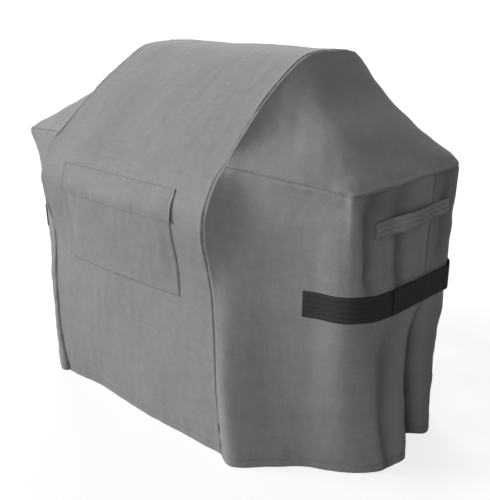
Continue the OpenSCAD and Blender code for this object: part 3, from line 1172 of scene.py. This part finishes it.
@dataclass
class SidePanels(SubAssembly):
    """The hip panel and two skirt halves of one end.

    Attributes:
        side: Which end.
        drawn: How far the strap draws in the front corner.
        step: Usual distance between the mesh's points.
        thickness: The cloth's thickness.
        strap_z: Height where the strap holds the skirts.
        hip_width: Usual distance from the band to the skirts along the hip.
        front_folds: The front skirt's folds and their painted shade; some are painted shade only.
        rear_folds: The rear skirt's folds and their painted shade; some are painted shade only.
        hip_panel: The shaped hip, once it is built.
    """

    side: Side
    drawn: float
    step: float = 0.0075
    thickness: float = 0.0014
    strap_z: float = 0.500
    hip_width: float = 0.42
    # Painted shade: folds with dark darken the cloth's colour in creases; those that stand out 0
    # are painted shade only
    front_folds: tuple = (
        Fold(5.48, 0.26, -0.0160, 0.48, 1.00, dark=0.75),
        Fold(5.70, 0.40, -0.0020, 0.72, 0.98, dark=0.55),
        Fold(4.98, 0.20, 0.0030, 0.53, 0.93),
        Fold(5.90, 0.20, 0.0050, 0.51, 0.72),
        Fold(6.36, 0.12, -0.0140, 0.48, 0.74, dark=0.85),
        Fold(6.25, 0.22, -0.0060, 0.66, 0.98, dark=0.60),
        Fold(6.62, 0.16, 0.0050, 0.51, 0.72),
        Fold(6.05, 0.28, -0.0100, -0.02, 0.50, 0.60),
        Fold(5.95, 0.28, 0.0, -0.25, 0.50, 0.96, 0.70),
        Fold(6.60, 0.28, 0.0050, -0.25, 0.50),
        Fold(7.00, 0.06, 0.0, -0.25, 0.52, 0.0, 0.45),
        Fold(2.10, 0.45, -0.0030, 0.05, 0.75),
        Fold(3.40, 0.40, 0.0030, -0.10, 0.80),
    )
    # Painted shade here also paints the shadow that the front half's free edge casts on the rear
    # half
    rear_folds: tuple = (
        Fold(0.30, 0.20, -0.0080, 0.48, 0.98, dark=0.75),
        Fold(0.80, 0.30, 0.0020, 0.50, 0.95, dark=0.50),
        Fold(1.60, 0.60, -0.0080, 0.50, 0.98, dark=0.75),
        Fold(2.30, 0.90, 0.0, 0.50, 1.00, dark=0.45),
        Fold(0.80, 0.55, -0.0140, -0.25, 0.52, -1.75, 1.00),
        Fold(0.10, 0.60, 0.0, -0.25, 0.54, dark=1.00),
        Fold(1.90, 0.60, 0.0, -0.25, 0.52, dark=0.45),
        Fold(2.90, 0.75, -0.0120, -0.25, 0.40),
        Fold(5.00, 0.40, -0.0030, 0.05, 0.80),
    )
    hip_panel: Optional[Panel] = None

    @property
    def seed(self) -> int:
        """First of this end's seeds."""
        return 100 if self.side is Side.RIGHT else 200

    def _skirt_grid(self, half: Half) -> tuple:
        """Lays out the grid of a skirt half.

        Args:
            half: Which half.

        Returns:
            Its columns, its places from the hip seam down, and its points.
        """
        shape = self.shape
        front = half is Half.FRONT
        last = shape.front_last if front else shape.rear_last
        even = np.linspace(0, last, 1500)
        level = np.full(len(even), 0.65)
        line = (shape.front_skirt(even, level, self.drawn) if front
                else shape.rear_skirt(even, level))
        columns = stepped(line, even, lambda length: spread(length, self.step))
        downs = spread(shape.table_h, self.step)

        def surface(t: Grid, down: Grid) -> Grid:
            """Points at columns t, a share down of the way from the seam to the hem."""
            if front:
                return shape.front_skirt(t, shape.front_top(t) * (1 - down), self.drawn)
            return shape.rear_skirt(t, shape.rear_top(t) * (1 - down))

        return columns, downs, grid_of(surface, columns, downs)

    def skirt(self, half: Half) -> None:
        """Builds one skirt half, hung from the hip seam to the hem.

        Args:
            half: Which half.
        """
        shape = self.shape
        front = half is Half.FRONT
        columns, downs, grid = self._skirt_grid(half)
        name = f"{self.side.word}_{half.value}_skirt_cloth"
        panel = Panel(name, grid)
        t, z = columns[:, None] + 0 * downs[None], grid[..., 2]
        seed = self.seed + (0 if front else 30)
        strapped = smooth(np.abs(z - self.strap_z) / 0.110)
        panel.lift(shape.cloth_t)
        height = (Ripples(seed, 0.0009, 0.26, 0.5).at(panel.across, panel.along)
                  + Ripples(seed + 1, 0.0004, 0.06).at(panel.across, panel.along)
                  ) * mix(0.25, 1.0, strapped)
        for fold in self.front_folds if front else self.rear_folds:
            form = fold.form(t, z)
            height = height + fold.out * form * strapped * smooth(panel.across / 0.060)
            # Painted shade: each fold darkens the cloth's colour where it lies, through the shade
            # attribute
            panel.shade = 1 - (1 - panel.shade) * (1 - fold.dark * form)
        y = grid[..., 1]
        # Behind the handle nothing stands out, so the cloth stays under the webbing
        held = 1.0
        for inside in (z - 0.665, 0.775 - z, y + 0.110, 0.315 - y):
            held = held * smooth(inside / 0.025)
        panel.lift(mix(height, np.minimum(height, -0.0003), held))
        band = Edge.FIRST_ROW if front else Edge.LAST_ROW
        slit = Edge.LAST_ROW if front else Edge.FIRST_ROW
        sewn = smooth((z - 0.52) / 0.05)
        panel.sew(band, seed + 2, welt=0.0008)
        panel.sew(Edge.FIRST_COLUMN, seed + 3, welt=0.0012)
        panel.sew(slit, seed + 4, welt=0.0010, share=sewn * (1 - smooth((z - 0.69) / 0.04)))
        panel.hem(slit, seed + 5, wide=0.016, share=1 - sewn)
        panel.hem(Edge.LAST_COLUMN, seed + 6)
        heights = grid[0 if band is Edge.FIRST_ROW else -1, :, 2]
        place = shape.front_t(heights) if front else shape.back_t(heights)
        panel.pull(band, shape.seam_line(place))
        k = -1 if front else 0
        level = grid[k, :, 2]
        ones = np.ones(len(level))
        meeting = 0.5 * (shape.front_skirt(ones * shape.front_last, level, self.drawn)
                         + shape.rear_skirt(ones * 0, level))
        meeting[:, 0] += shape.cloth_t * smooth((level - 0.68) / 0.05)
        panel.pull(slit, meeting, share=sewn[k, :])
        panel.pull(Edge.FIRST_COLUMN, grid[:, 0])
        piece = panel.build(self.thickness, self.side.mirrored)
        dress(piece, self.finishes.cloth)
        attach(piece, "cover")
        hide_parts(f"{self.side.word}_{half.value}_skirt")
        hems = sew_paths(self.stitching, f"{self.side.word}_{half.value}_hem_stitches",
                         [panel.line(Edge.LAST_COLUMN, HEM_AWAY), self._slit_line(panel, slit)],
                         self.side, self.finishes.grey_thread, CLOTH_SLOT, HEM_PITCH, HEM_STITCH)
        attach(hems, "cover")

    def _slit_line(self, panel: Panel, slit: Edge) -> tuple:
        """The line of stitches beside the free edge under the strap."""
        path, normals = panel.line(slit, 0.015)
        free = path[:, 2] < self.strap_z
        return path[free], normals[free]

    def hip(self) -> None:
        """Builds the sloping hip panel between the band and the skirts."""
        shape = self.shape
        even = np.linspace(0, 1, 1500)
        v_rows = stepped(shape.hip_low(even), even,
                         lambda length: np.linspace(0, 1, round(length / self.step)))
        u_columns = spread(self.hip_width, self.step)
        grid = grid_of(lambda v, u: shape.hip(u, v), v_rows, u_columns)
        panel = Panel(f"{self.side.word}_hip_cloth", relaxed(grid, 17, 0.9))
        seed = self.seed + 60
        wide = smooth(panel.across[:, -1:] / 0.15)
        panel.lift(shape.cloth_t * smooth(panel.across[:, -1:] / 0.02))
        panel.lift(wide * (Ripples(seed, 0.0018, 0.20).at(grid[..., 0], grid[..., 1])
                           + Ripples(seed + 1, 0.0005, 0.06).at(grid[..., 0], grid[..., 1])))
        panel.sew(Edge.FIRST_COLUMN, seed + 2, welt=0.0008, share=wide)
        panel.sew(Edge.LAST_COLUMN, seed + 3, welt=0.0010, share=wide)
        panel.pull(Edge.FIRST_COLUMN, shape.seam_line(shape.hip_high_t(v_rows)))
        panel.pull(Edge.LAST_COLUMN, shape.hip_low(v_rows))
        piece = panel.build(self.thickness, self.side.mirrored)
        dress(piece, self.finishes.cloth)
        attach(piece, "cover")
        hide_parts(f"{self.side.word}_hip_panel")
        self.hip_panel = panel

    def hip_stitches(self) -> None:
        """Sews the bold stitches that show along the hip seam."""
        panel = self.hip_panel
        path = turned_over(0.5 * (panel.grid[:, -2] + panel.grid[:, -3]), self.side)
        normals = turned_over(panel.normals[:, -3], self.side)
        keep = slice(4, -4)
        piece = self.stitching.row(f"{self.side.word}_hip_stitches", path[keep], normals[keep],
                                   0.0092, 0.0056, 0.0017, self.finishes.dark_thread, CLOTH_SLOT)
        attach(piece, "cover")

    def build(self) -> None:
        """Builds the end's three panels and their stitches."""
        self.hip()
        self.skirt(Half.FRONT)
        self.skirt(Half.REAR)
        self.hip_stitches()


# Pocket -------------------------------------------------------------------------------------
@dataclass
class Pocket(SubAssembly):
    """The pouch, its flap and the closure strips between them.

    Attributes:
        width: The pouch's width.
        low_z: Height of its bottom.
        mouth_z: Height of its open top edge.
        flap_top_z: Height of the flap's sewn edge.
        flap_low_z: Height of its free edge.
        stand: How far the full pouch stands off the band.
        clear: Gap between the band and the sewn edges.
        strip_t: Thickness of a closure strip.
        strip_h: Its height.
        strip_l: Its length.
        strip_z: Height of its middle.
        thickness: The cloth's thickness.
        step: Usual distance between the mesh's points.
        pitch: Distance from one stitch to the next.
        stitch: Length of a stitch.
    """

    width: float = 0.520
    low_z: float = 0.480
    mouth_z: float = 0.738
    flap_top_z: float = 0.803
    flap_low_z: float = 0.712
    stand: float = 0.0090
    clear: float = 0.0005
    strip_t: float = 0.0008
    strip_h: float = 0.018
    strip_l: float = 0.190
    strip_z: float = 0.725
    thickness: float = 0.0014
    step: float = 0.007
    pitch: float = 0.0070
    stitch: float = 0.0046

    def pouch_out(self, x: Grid, z: Grid) -> Grid:
        """Height of the pouch's outer face over the band."""
        side = smooth((self.width / 2 - np.abs(x)) / 0.070)
        rise = smooth((z - self.low_z) / 0.120)
        base = self.clear + self.shape.cloth_t
        return base + (self.stand - base) * side * rise

    def flap_out(self, x: Grid, z: Grid) -> Grid:
        """Height of the flap's outer face over the band."""
        base = self.clear + self.shape.cloth_t
        taped = smooth((self.strip_l / 2 + 0.020 - np.abs(x)) / 0.030) * smooth(
            (0.024 - np.abs(z - self.strip_z)) / 0.012)
        over = self.pouch_out(x, np.minimum(z, self.mouth_z)) + 0.0020 + 0.0020 * taped
        share = smooth((self.flap_top_z - z) / (self.flap_top_z - self.mouth_z))
        return mix(np.full_like(x, base), over, share)

    def _beside_strip(self, x: Grid) -> Grid:
        """Share of a hem's relief that is left at x, little where a strip lies on it."""
        return mix(0.25, 1.0, smooth((np.abs(x) - self.strip_l / 2 - 0.005) / 0.025))[None]

    def _lying(self, out: Callable[[Grid, Grid], Grid]) -> Callable[[Grid, Grid], Grid]:
        """A surface that stands off the uneven band by out."""
        def surface(z: Grid, x: Grid) -> Grid:
            """Points at heights z and at x."""
            uneven = CentreBand.unevenness(x, z)
            return self.shape.front_at(x, z, out(x, z) + uneven)
        return surface

    def pouch(self) -> None:
        """Builds the pouch, sewn down at its sides and bottom."""
        rows = mix(self.low_z, self.mouth_z, spread(self.mouth_z - self.low_z, self.step))
        columns = (spread(self.width, self.step) - 0.5) * self.width
        panel = Panel("pocket_pouch_cloth", grid_of(self._lying(self.pouch_out), rows, columns))
        for edge, seed in ((Edge.FIRST_COLUMN, 41), (Edge.LAST_COLUMN, 42), (Edge.FIRST_ROW, 43)):
            panel.sew(edge, seed, welt=0.0006, pucker=0.0004)
            panel.lift(-0.0018 * (1 - smooth(panel.from_edge(edge) / 0.003)))
        panel.hem(Edge.LAST_ROW, 44, wide=0.020, share=self._beside_strip(columns))
        piece = panel.build(self.thickness)
        dress(piece, self.finishes.cloth)
        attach(piece, "cover")
        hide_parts("pocket_pouch")
        stitches = self._edge_stitches("pocket_pouch_stitches", panel, (
            Edge.FIRST_COLUMN, Edge.LAST_COLUMN, Edge.FIRST_ROW), 0.0060)
        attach(stitches, "cover")

    def _edge_stitches(self, name: str, panel: Panel, edges: Sequence[Edge],
                       away: float) -> bpy.types.Object:
        """Stitches that run inside a panel's edges, as one piece."""
        paths = [panel.line(edge, away) for edge in edges]
        return sew_paths(self.stitching, name, paths, Side.RIGHT, self.finishes.grey_thread,
                         CLOTH_SLOT, self.pitch, self.stitch)

    def flap(self) -> None:
        """Builds the flap, sewn along its top edge and hemmed along its other three."""
        rows = mix(self.flap_low_z, self.flap_top_z, spread(0.091, 0.006))
        wide = self.width + 0.010
        columns = (spread(wide, self.step) - 0.5) * wide
        panel = Panel("pocket_flap_cloth", grid_of(self._lying(self.flap_out), rows, columns))
        panel.hem(Edge.FIRST_ROW, 51, wide=0.012, share=self._beside_strip(columns))
        panel.hem(Edge.FIRST_COLUMN, 52, wide=0.010)
        panel.hem(Edge.LAST_COLUMN, 53, wide=0.010)
        panel.sew(Edge.LAST_ROW, 54, welt=0.0004, pucker=0.0004)
        panel.lift(-0.0017 * (1 - smooth(panel.from_edge(Edge.LAST_ROW) / 0.003)))
        piece = panel.build(self.thickness)
        stitches = self._edge_stitches("pocket_flap_stitches", panel, (
            Edge.FIRST_COLUMN, Edge.LAST_COLUMN, Edge.FIRST_ROW), 0.0090)
        dress(piece, self.finishes.cloth)
        for cloth in (piece, stitches):
            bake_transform(cloth)
        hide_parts("pocket_flap")

    def strip(self, name: str, out: Callable[[Grid, Grid], Grid], body: str,
              node: str) -> None:
        """Builds one closure strip.

        Args:
            name: The piece's name.
            out: Height of the strip's outer face over the band.
            body: The body that it rides on.
            node: The CAD node that it stands for.
        """
        rows = self.strip_z + np.linspace(-0.5, 0.5, 7) * self.strip_h
        columns = np.linspace(-0.5, 0.5, 50) * self.strip_l
        panel = Panel(name, grid_of(self._lying(out), rows, columns))
        panel.lift(Ripples(61, 0.00012, 0.02).at(panel.across, panel.along))
        piece = panel.build(self.strip_t)
        dress(piece, self.finishes.tape)
        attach(piece, body)
        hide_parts(node)

    def build(self) -> None:
        """Builds the pocket's four pieces."""
        self.pouch()
        self.flap()
        self.strip("pocket_loop_tape", lambda x, z: self.pouch_out(x, z) + self.strip_t + 0.0004,
                   "cover", "pocket_loop_strip")
        self.strip("pocket_hook_tape", lambda x, z: self.flap_out(x, z) - 0.0018, "flap",
                   "pocket_hook_strip")


# Webbing ------------------------------------------------------------------------------------
def webbing(name: str, grid: Grid, thickness: float, mirrored: bool,
            outward: Optional[Grid] = None) -> tuple:
    """Makes a strip of webbing with rounded, slightly worn edges.

    Args:
        name: The piece's name.
        grid: Points of its outer face, along the strip by across it.
        thickness: The webbing's thickness.
        mirrored: Whether it is turned over to the left side.
        outward: Normals, where the cover's middle doesn't tell which way is out.

    Returns:
        The piece and its panel.
    """
    panel = Panel(name, grid)
    if outward is not None:
        panel.normals = outward
    away = np.minimum(panel.from_edge(Edge.FIRST_COLUMN), panel.from_edge(Edge.LAST_COLUMN))
    panel.lift(-0.0004 * (1 - smooth(away / 0.0025)))
    panel.wear = 0.6 * bell(away, 0, 0.0016)
    return panel.build(thickness, mirrored), panel


def box_stitch(panel: Panel, first: int, last: int, inset: int) -> list:
    """Paths of a box stitch with its cross, on the outer face of a panel.

    Args:
        panel: The webbing, along by across.
        first: Row of the box's one end.
        last: Row of its other end.
        inset: Columns from the edges to the stitching.

    Returns:
        Pairs of path and normals.
    """
    width = panel.grid.shape[1] - 1 - inset
    box = [((first, inset), (last, inset)), ((last, inset), (last, width)),
           ((last, width), (first, width)), ((first, width), (first, inset)),
           ((first, inset), (last, width)), ((last, inset), (first, width))]
    paths = []
    for (r0, c0), (r1, c1) in box:
        rows, columns = np.linspace(r0, r1, 16), np.linspace(c0, c1, 16)
        r, c = np.round(rows).astype(int), np.round(columns).astype(int)
        paths.append((panel.grid[r, c], panel.normals[r, c]))
    return paths


@dataclass
class Handle(SubAssembly):
    """The webbing handle on one end: two box-stitched ends and a loop that bows off the end.

    Attributes:
        side: Which end.
        top_z: Height of its top edge.
        high: The webbing's width.
        length: The handle's length.
        end_l: Length of a sewn end.
        stand: How far the loop stands off the end.
        thickness: The webbing's thickness.
        middle_y: Place of its middle.
    """

    side: Side
    top_z: float = 0.746
    high: float = 0.048
    length: float = 0.366
    end_l: float = 0.078
    stand: float = 0.013
    thickness: float = 0.002
    middle_y: float = 0.102

    def _half(self, half: Half) -> None:
        """Builds one half of the handle, from its sewn end to the loop's middle.

        Args:
            half: Which half.
        """
        sign = -1 if half is Half.FRONT else 1
        from_middle = np.linspace(0, self.length / 2, 62)
        free = self.length / 2 - self.end_l
        share = np.clip(0.5 + 0.5 * from_middle / free, 0.5, 1)
        bow = self.stand * np.sin(math.pi * share) ** 1.2
        x = self.shape.half_l + 0.0029 + self.thickness + np.nan_to_num(bow)
        across = np.linspace(0, 1, 13)
        s, c = np.meshgrid(np.arange(len(x)), across, indexing="ij")
        rolled = 0.0016 * np.sin(math.pi * c) * smooth((free - from_middle[s]) / 0.05)
        sway = 0.0014 * np.sin(from_middle[s] / free * 2.6 + 1.0 + 2 * c) * (
            smooth((free - from_middle[s]) / 0.04))
        grid = np.stack([x[s] + rolled, self.middle_y + sign * from_middle[s],
                         self.top_z - self.high * c + sway], -1)
        name = f"{self.side.word}_handle_{half.value}"
        outward = np.broadcast_to(np.array([1.0, 0, 0]), grid.shape)
        piece, panel = webbing(name, grid, self.thickness, self.side.mirrored, outward)
        dress(piece, self.finishes.handle)
        first = int(np.searchsorted(from_middle, free + 0.006))
        rows = box_stitch(panel, first, len(x) - 3, 1)
        stitches = sew_paths(self.stitching, name + "_stitches", rows, self.side,
                             self.finishes.grey_thread, HANDLE_SLOT)
        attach(stitches, "cover")
        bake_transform(piece)
        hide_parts(f"{self.side.word}_handle_loop", f"{self.side.word}_handle_ends")

    def build(self) -> None:
        """Builds both halves."""
        for half in Half:
            self._half(half)


@dataclass
class Strap(SubAssembly):
    """The hook-and-loop strap of one end: base, tab and the patches between them.

    Attributes:
        side: Which end.
        drawn: How far the strap draws in the front corner.
        low_z: Height of its lower edge.
        high_z: Height of its upper edge.
        thickness: The webbing's thickness.
        tab_x: Place of the tab's outer face.
        tab_y0: Place of its free end.
        tab_y1: Place of its hinge.
        lie: Gap between the skirt's lining side and the webbing.
        across: Number of points across the webbing.
        tape_inset: Distance of the patches from the webbing's edges.
        tape_t: Their thickness.
        tape_l: Length of the hook patch.
    """

    side: Side
    drawn: float
    low_z: float = 0.458
    high_z: float = 0.534
    thickness: float = 0.002
    tab_x: float = 0.758
    tab_y0: float = 0.014
    tab_y1: float = 0.317
    lie: float = 0.0034
    across: int = 17
    tape_inset: float = 0.008
    tape_t: float = 0.0007
    tape_l: float = 0.070

    def _off_skirt(self, skirt: Callable[[Grid, Grid], Grid], t: Grid, z: Grid,
                   out: Grid) -> Grid:
        """Points off a skirt's lining side.

        Args:
            skirt: The skirt's surface.
            t: Columns.
            z: Heights.
            out: Distance from the surface, in metres.

        Returns:
            The points.
        """
        ahead, behind = skirt(t + 0.02, z), skirt(t - 0.02, z)
        above, below = skirt(t, z + 0.004), skirt(t, z - 0.004)
        return skirt(t, z) + unit(np.cross(ahead - behind, above - below)) * out[:, None]

    def _front(self, t: Grid, z: Grid) -> Grid:
        """The front skirt under this strap."""
        return self.shape.front_skirt(t, z, self.drawn)

    def _front_grid(self, t0: float, t1: float, inset: float, out: float,
                    steps: int) -> Grid:
        """Lays webbing round the front corner.

        Args:
            t0: Column of the front skirt where it starts.
            t1: Column where it ends.
            inset: Distance of its edges from the strap's.
            out: Height of its outer face over the skirt's lining side.
            steps: Number of points along it.

        Returns:
            Its points.
        """
        rows = np.linspace(t0, t1, steps)
        z = np.linspace(self.low_z + inset, self.high_z - inset, self.across)

        def surface(t: Grid, level: Grid) -> Grid:
            """Points at columns t and heights in the strap."""
            climb = 0.026 * (1 - smooth((t - 4.6) / 1.7)) - 0.004 * smooth((t - 6.0) / 0.4)
            return self._off_skirt(self._front, t, level + climb, np.full(len(t), out))

        return grid_of(surface, rows, z)

    @staticmethod
    def _flat(panel: Panel) -> tuple:
        """Width and length of a strip of webbing laid flat."""
        return round(float(panel.across.mean(0)[-1]), 3), round(float(panel.along.mean(1)[-1]), 3)

    def _finish(self, piece: bpy.types.Object, material: bpy.types.Material, slot: str,
                body: Optional[str], nodes: Sequence[str], flat: tuple,
                rests_on: str, with_pieces: Sequence[bpy.types.Object] = ()) -> None:
        """Dresses one of the strap's pieces, hangs it on its body and hides the CAD nodes that it
        stands for.

        Args:
            piece: The piece.
            material: Its material.
            slot: The record's material slot; not used.
            body: The body that it rides on, or None if it hangs on none.
            nodes: The CAD nodes that it stands for, without the side.
            flat: Its width and length laid flat; not used.
            rests_on: The piece that it lies on, without the side; not used.
            with_pieces: Stitches that move with it; not used.
        """
        dress(piece, material)
        if body:
            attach(piece, body)
        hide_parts(*[f"{self.side.word}_{node}" for node in nodes])

    def base(self) -> None:
        """Builds the base, sewn round the front corner, and its loop patch."""
        word, mirrored = self.side.word, self.side.mirrored
        out = self.lie + self.thickness
        grid = self._front_grid(2.75, 6.62, 0.0, out, 90)
        piece, panel = webbing(f"{word}_strap_front", grid, self.thickness, mirrored)
        stitches = sew_paths(self.stitching, f"{word}_strap_front_stitches",
                             box_stitch(panel, 2, 11, 1), self.side, self.finishes.dark_thread,
                             STRAP_SLOT)
        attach(stitches, "cover")
        self._finish(piece, self.finishes.strap, STRAP_SLOT, "cover", ["strap_base"],
                     self._flat(panel), "front_skirt_cloth", [stitches])
        grid = self._front_grid(6.30, 6.58, self.tape_inset, out + 0.0009, 14)
        piece, tape_panel = webbing(f"{word}_strap_loop_tape", grid, self.tape_t, mirrored)
        self._finish(piece, self.finishes.tape, TAPE_SLOT, "cover", ["strap_loop_patch"],
                     self._flat(tape_panel), "strap_front")

    def tab(self) -> None:
        """Builds the tab with its sewn end round the rear corner, and its hook patch."""
        word, mirrored = self.side.word, self.side.mirrored
        count = self.across
        heights = np.linspace(self.low_z, self.high_z, count)
        knots = []
        for y in np.linspace(self.tab_y0, self.tab_y1 - 0.014, 9):
            lower = 0.0015 * (1 - smooth((y - self.tab_y0) / 0.05))
            knots.append(np.stack([np.full(count, self.tab_x - lower), np.full(count, y),
                                   heights], -1))
        for t in (3.16, 3.40, 3.70, 4.00, 4.25, 4.50):
            column = np.full(count, t)
            out = mix(0.010, self.lie, smooth((column - 3.0) / 0.5)) + self.thickness
            knots.append(self._off_skirt(self.shape.rear_skirt, column, heights, out))
        knots = np.stack(knots)
        even = np.linspace(0, len(knots) - 1, 150)
        grid = np.empty((len(even), count, 3))
        for k in range(count):
            grid[:, k, :2] = spline(knots[:, k, :2], even)
            grid[:, k, 2] = heights[k]
        piece, panel = webbing(f"{word}_strap_end", grid, self.thickness, mirrored)
        stitches = sew_paths(self.stitching, f"{word}_strap_end_stitches",
                             box_stitch(panel, 132, 147, 1), self.side,
                             self.finishes.dark_thread, STRAP_SLOT)
        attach(stitches, "cover")
        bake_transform(piece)
        self._finish(piece, self.finishes.strap, STRAP_SLOT, None, ["strap_tab", "strap_anchor"],
                     self._flat(panel), "rear_skirt_cloth", [stitches])
        y = self.tab_y0 + 0.004 + np.linspace(0, self.tape_l, 16)
        z = np.linspace(self.low_z + self.tape_inset, self.high_z - self.tape_inset, 14)
        x = self.tab_x - self.thickness - 0.0001 - 0.0015 * (1 - smooth((y - self.tab_y0) / 0.05))
        grid = np.stack([np.repeat(x[:, None], len(z), 1), *np.meshgrid(y, z, indexing="ij")], -1)
        piece, _ = webbing(f"{word}_strap_hook_tape", grid, self.tape_t, mirrored)
        self._finish(piece, self.finishes.tape, TAPE_SLOT, f"{word}_tab", ["strap_hook_patch"],
                     (0.060, self.tape_l), "strap_end")

    def build(self) -> None:
        """Builds the strap's pieces."""
        self.base()
        self.tab()


# Studio -------------------------------------------------------------------------------------
@dataclass(frozen=True)
class Studio:
    """The pale floor, the soft light and the camera.

    Attributes:
        camera_place: Where the camera stands.
        yaw: How far it is turned to the left of the y axis, in degrees.
        pitch: How far it looks down, in degrees.
        roll: How far it is tipped, in degrees.
        lens: Its focal length for a sensor 36 mm wide.
        sky: Strength of the light from all round.
        suns: Name, direction, strength and spread of each light.
        floor_grey: The floor's colour.
        floor_glow: Light added to the floor where the camera sees it.
    """

    camera_place: tuple = (1.8265, -1.7083, 1.3246)
    yaw: float = 43.67
    pitch: float = 18.72
    roll: float = -0.11
    lens: float = 55.6
    sky: float = 0.17
    suns: tuple = (
        ("key", (-0.72, -0.58, 0.38), 3.3, 30),
        ("fill", (0.46, -0.86, 0.22), 1.0, 20),
        ("rim", (-0.60, 0.55, 0.58), 1.3, 30),
    )
    floor_grey: float = 0.25
    floor_glow: float = 0.79

    def camera(self) -> None:
        """Places the camera and makes it the scene's."""
        yaw, pitch = math.radians(self.yaw), math.radians(self.pitch)
        ahead = Vector((-math.sin(yaw) * math.cos(pitch), math.cos(yaw) * math.cos(pitch),
                        -math.sin(pitch)))
        right = Vector((math.cos(yaw), math.sin(yaw), 0))
        up = right.cross(ahead)
        turn = Matrix((right, up, -ahead)).transposed().to_4x4()
        data = bpy.data.cameras.new("camera")
        data.lens = self.lens
        data.sensor_width = 36.0
        data.clip_end = 1000.0
        camera = placed("camera", data)
        camera.matrix_world = (Matrix.Translation(self.camera_place) @ turn
                               @ Matrix.Rotation(math.radians(self.roll), 4, "Z"))
        bpy.context.scene.camera = camera

    def lights(self) -> None:
        """Lights the cover with a key, a fill and a rim light, and a soft sky all round."""
        for name, place, power, spread_deg in self.suns:
            data = bpy.data.lights.new(name, "SUN")
            data.energy = power
            data.angle = math.radians(spread_deg)
            sun = placed(name, data)
            sun.rotation_euler = Vector(place).to_track_quat("Z", "Y").to_euler()
        world = bpy.data.worlds.new("sky")
        bpy.context.scene.world = world
        world.use_nodes = True
        tree = world.node_tree
        sky = tree.nodes["Background"]
        sky.inputs["Color"].default_value = (1, 1, 1, 1)
        sky.inputs["Strength"].default_value = self.sky
        white = tree.nodes.new("ShaderNodeBackground")
        white.inputs["Color"].default_value = (1, 1, 1, 1)
        white.inputs["Strength"].default_value = 1.0
        seen = tree.nodes.new("ShaderNodeLightPath")
        either = tree.nodes.new("ShaderNodeMixShader")
        tree.links.new(seen.outputs["Is Camera Ray"], either.inputs[0])
        tree.links.new(sky.outputs[0], either.inputs[1])
        tree.links.new(white.outputs[0], either.inputs[2])
        tree.links.new(either.outputs[0], tree.nodes["World Output"].inputs["Surface"])
        bpy.context.scene.view_settings.view_transform = "Standard"

    def floor(self) -> None:
        """Lays the pale floor."""
        bpy.ops.object.select_all(action="DESELECT")
        bpy.ops.mesh.primitive_plane_add(size=400, location=(0, 0, -0.0006))
        floor = bpy.context.object
        floor.name = "floor"
        b = Board("pale_floor")
        place = b.node("TexCoord").outputs["Object"]
        colour = b.tinted((self.floor_grey,) * 3, b.swing(b.noise(place, 3.0), 0.01))
        b.finish(colour, b.maths("ADD", b.noise(place, 5.0), 0.3), b.noise(place, 900.0),
                 0.0002, 0.1)
        b.shader.inputs["Emission Color"].default_value = (1, 1, 1, 1)
        seen = b.node("LightPath").outputs["Is Camera Ray"]
        b.tree.links.new(b.maths("MULTIPLY", seen, self.floor_glow),
                         b.shader.inputs["Emission Strength"])
        floor.data.materials.append(b.material)

    def build(self) -> None:
        """Sets up the studio."""
        self.camera()
        self.lights()
        self.floor()


def main() -> None:
    """Builds the cover round its CAD frame, one sub-assembly after another."""
    logging.basicConfig(level=logging.INFO, format="%(name)s: %(message)s")
    Studio().build()
    shape = CoverShape()
    finishes = Finishes.make()
    stitching = Stitching()
    CentreBand(shape, finishes, stitching).build()
    for side, drawn in ((Side.RIGHT, 0.0), (Side.LEFT, 0.030)):
        SidePanels(shape, finishes, stitching, side, drawn).build()
        Handle(shape, finishes, stitching, side).build()
        Strap(shape, finishes, stitching, side, drawn).build()
    Pocket(shape, finishes, stitching).build()


if __name__ == "__main__":
    main()
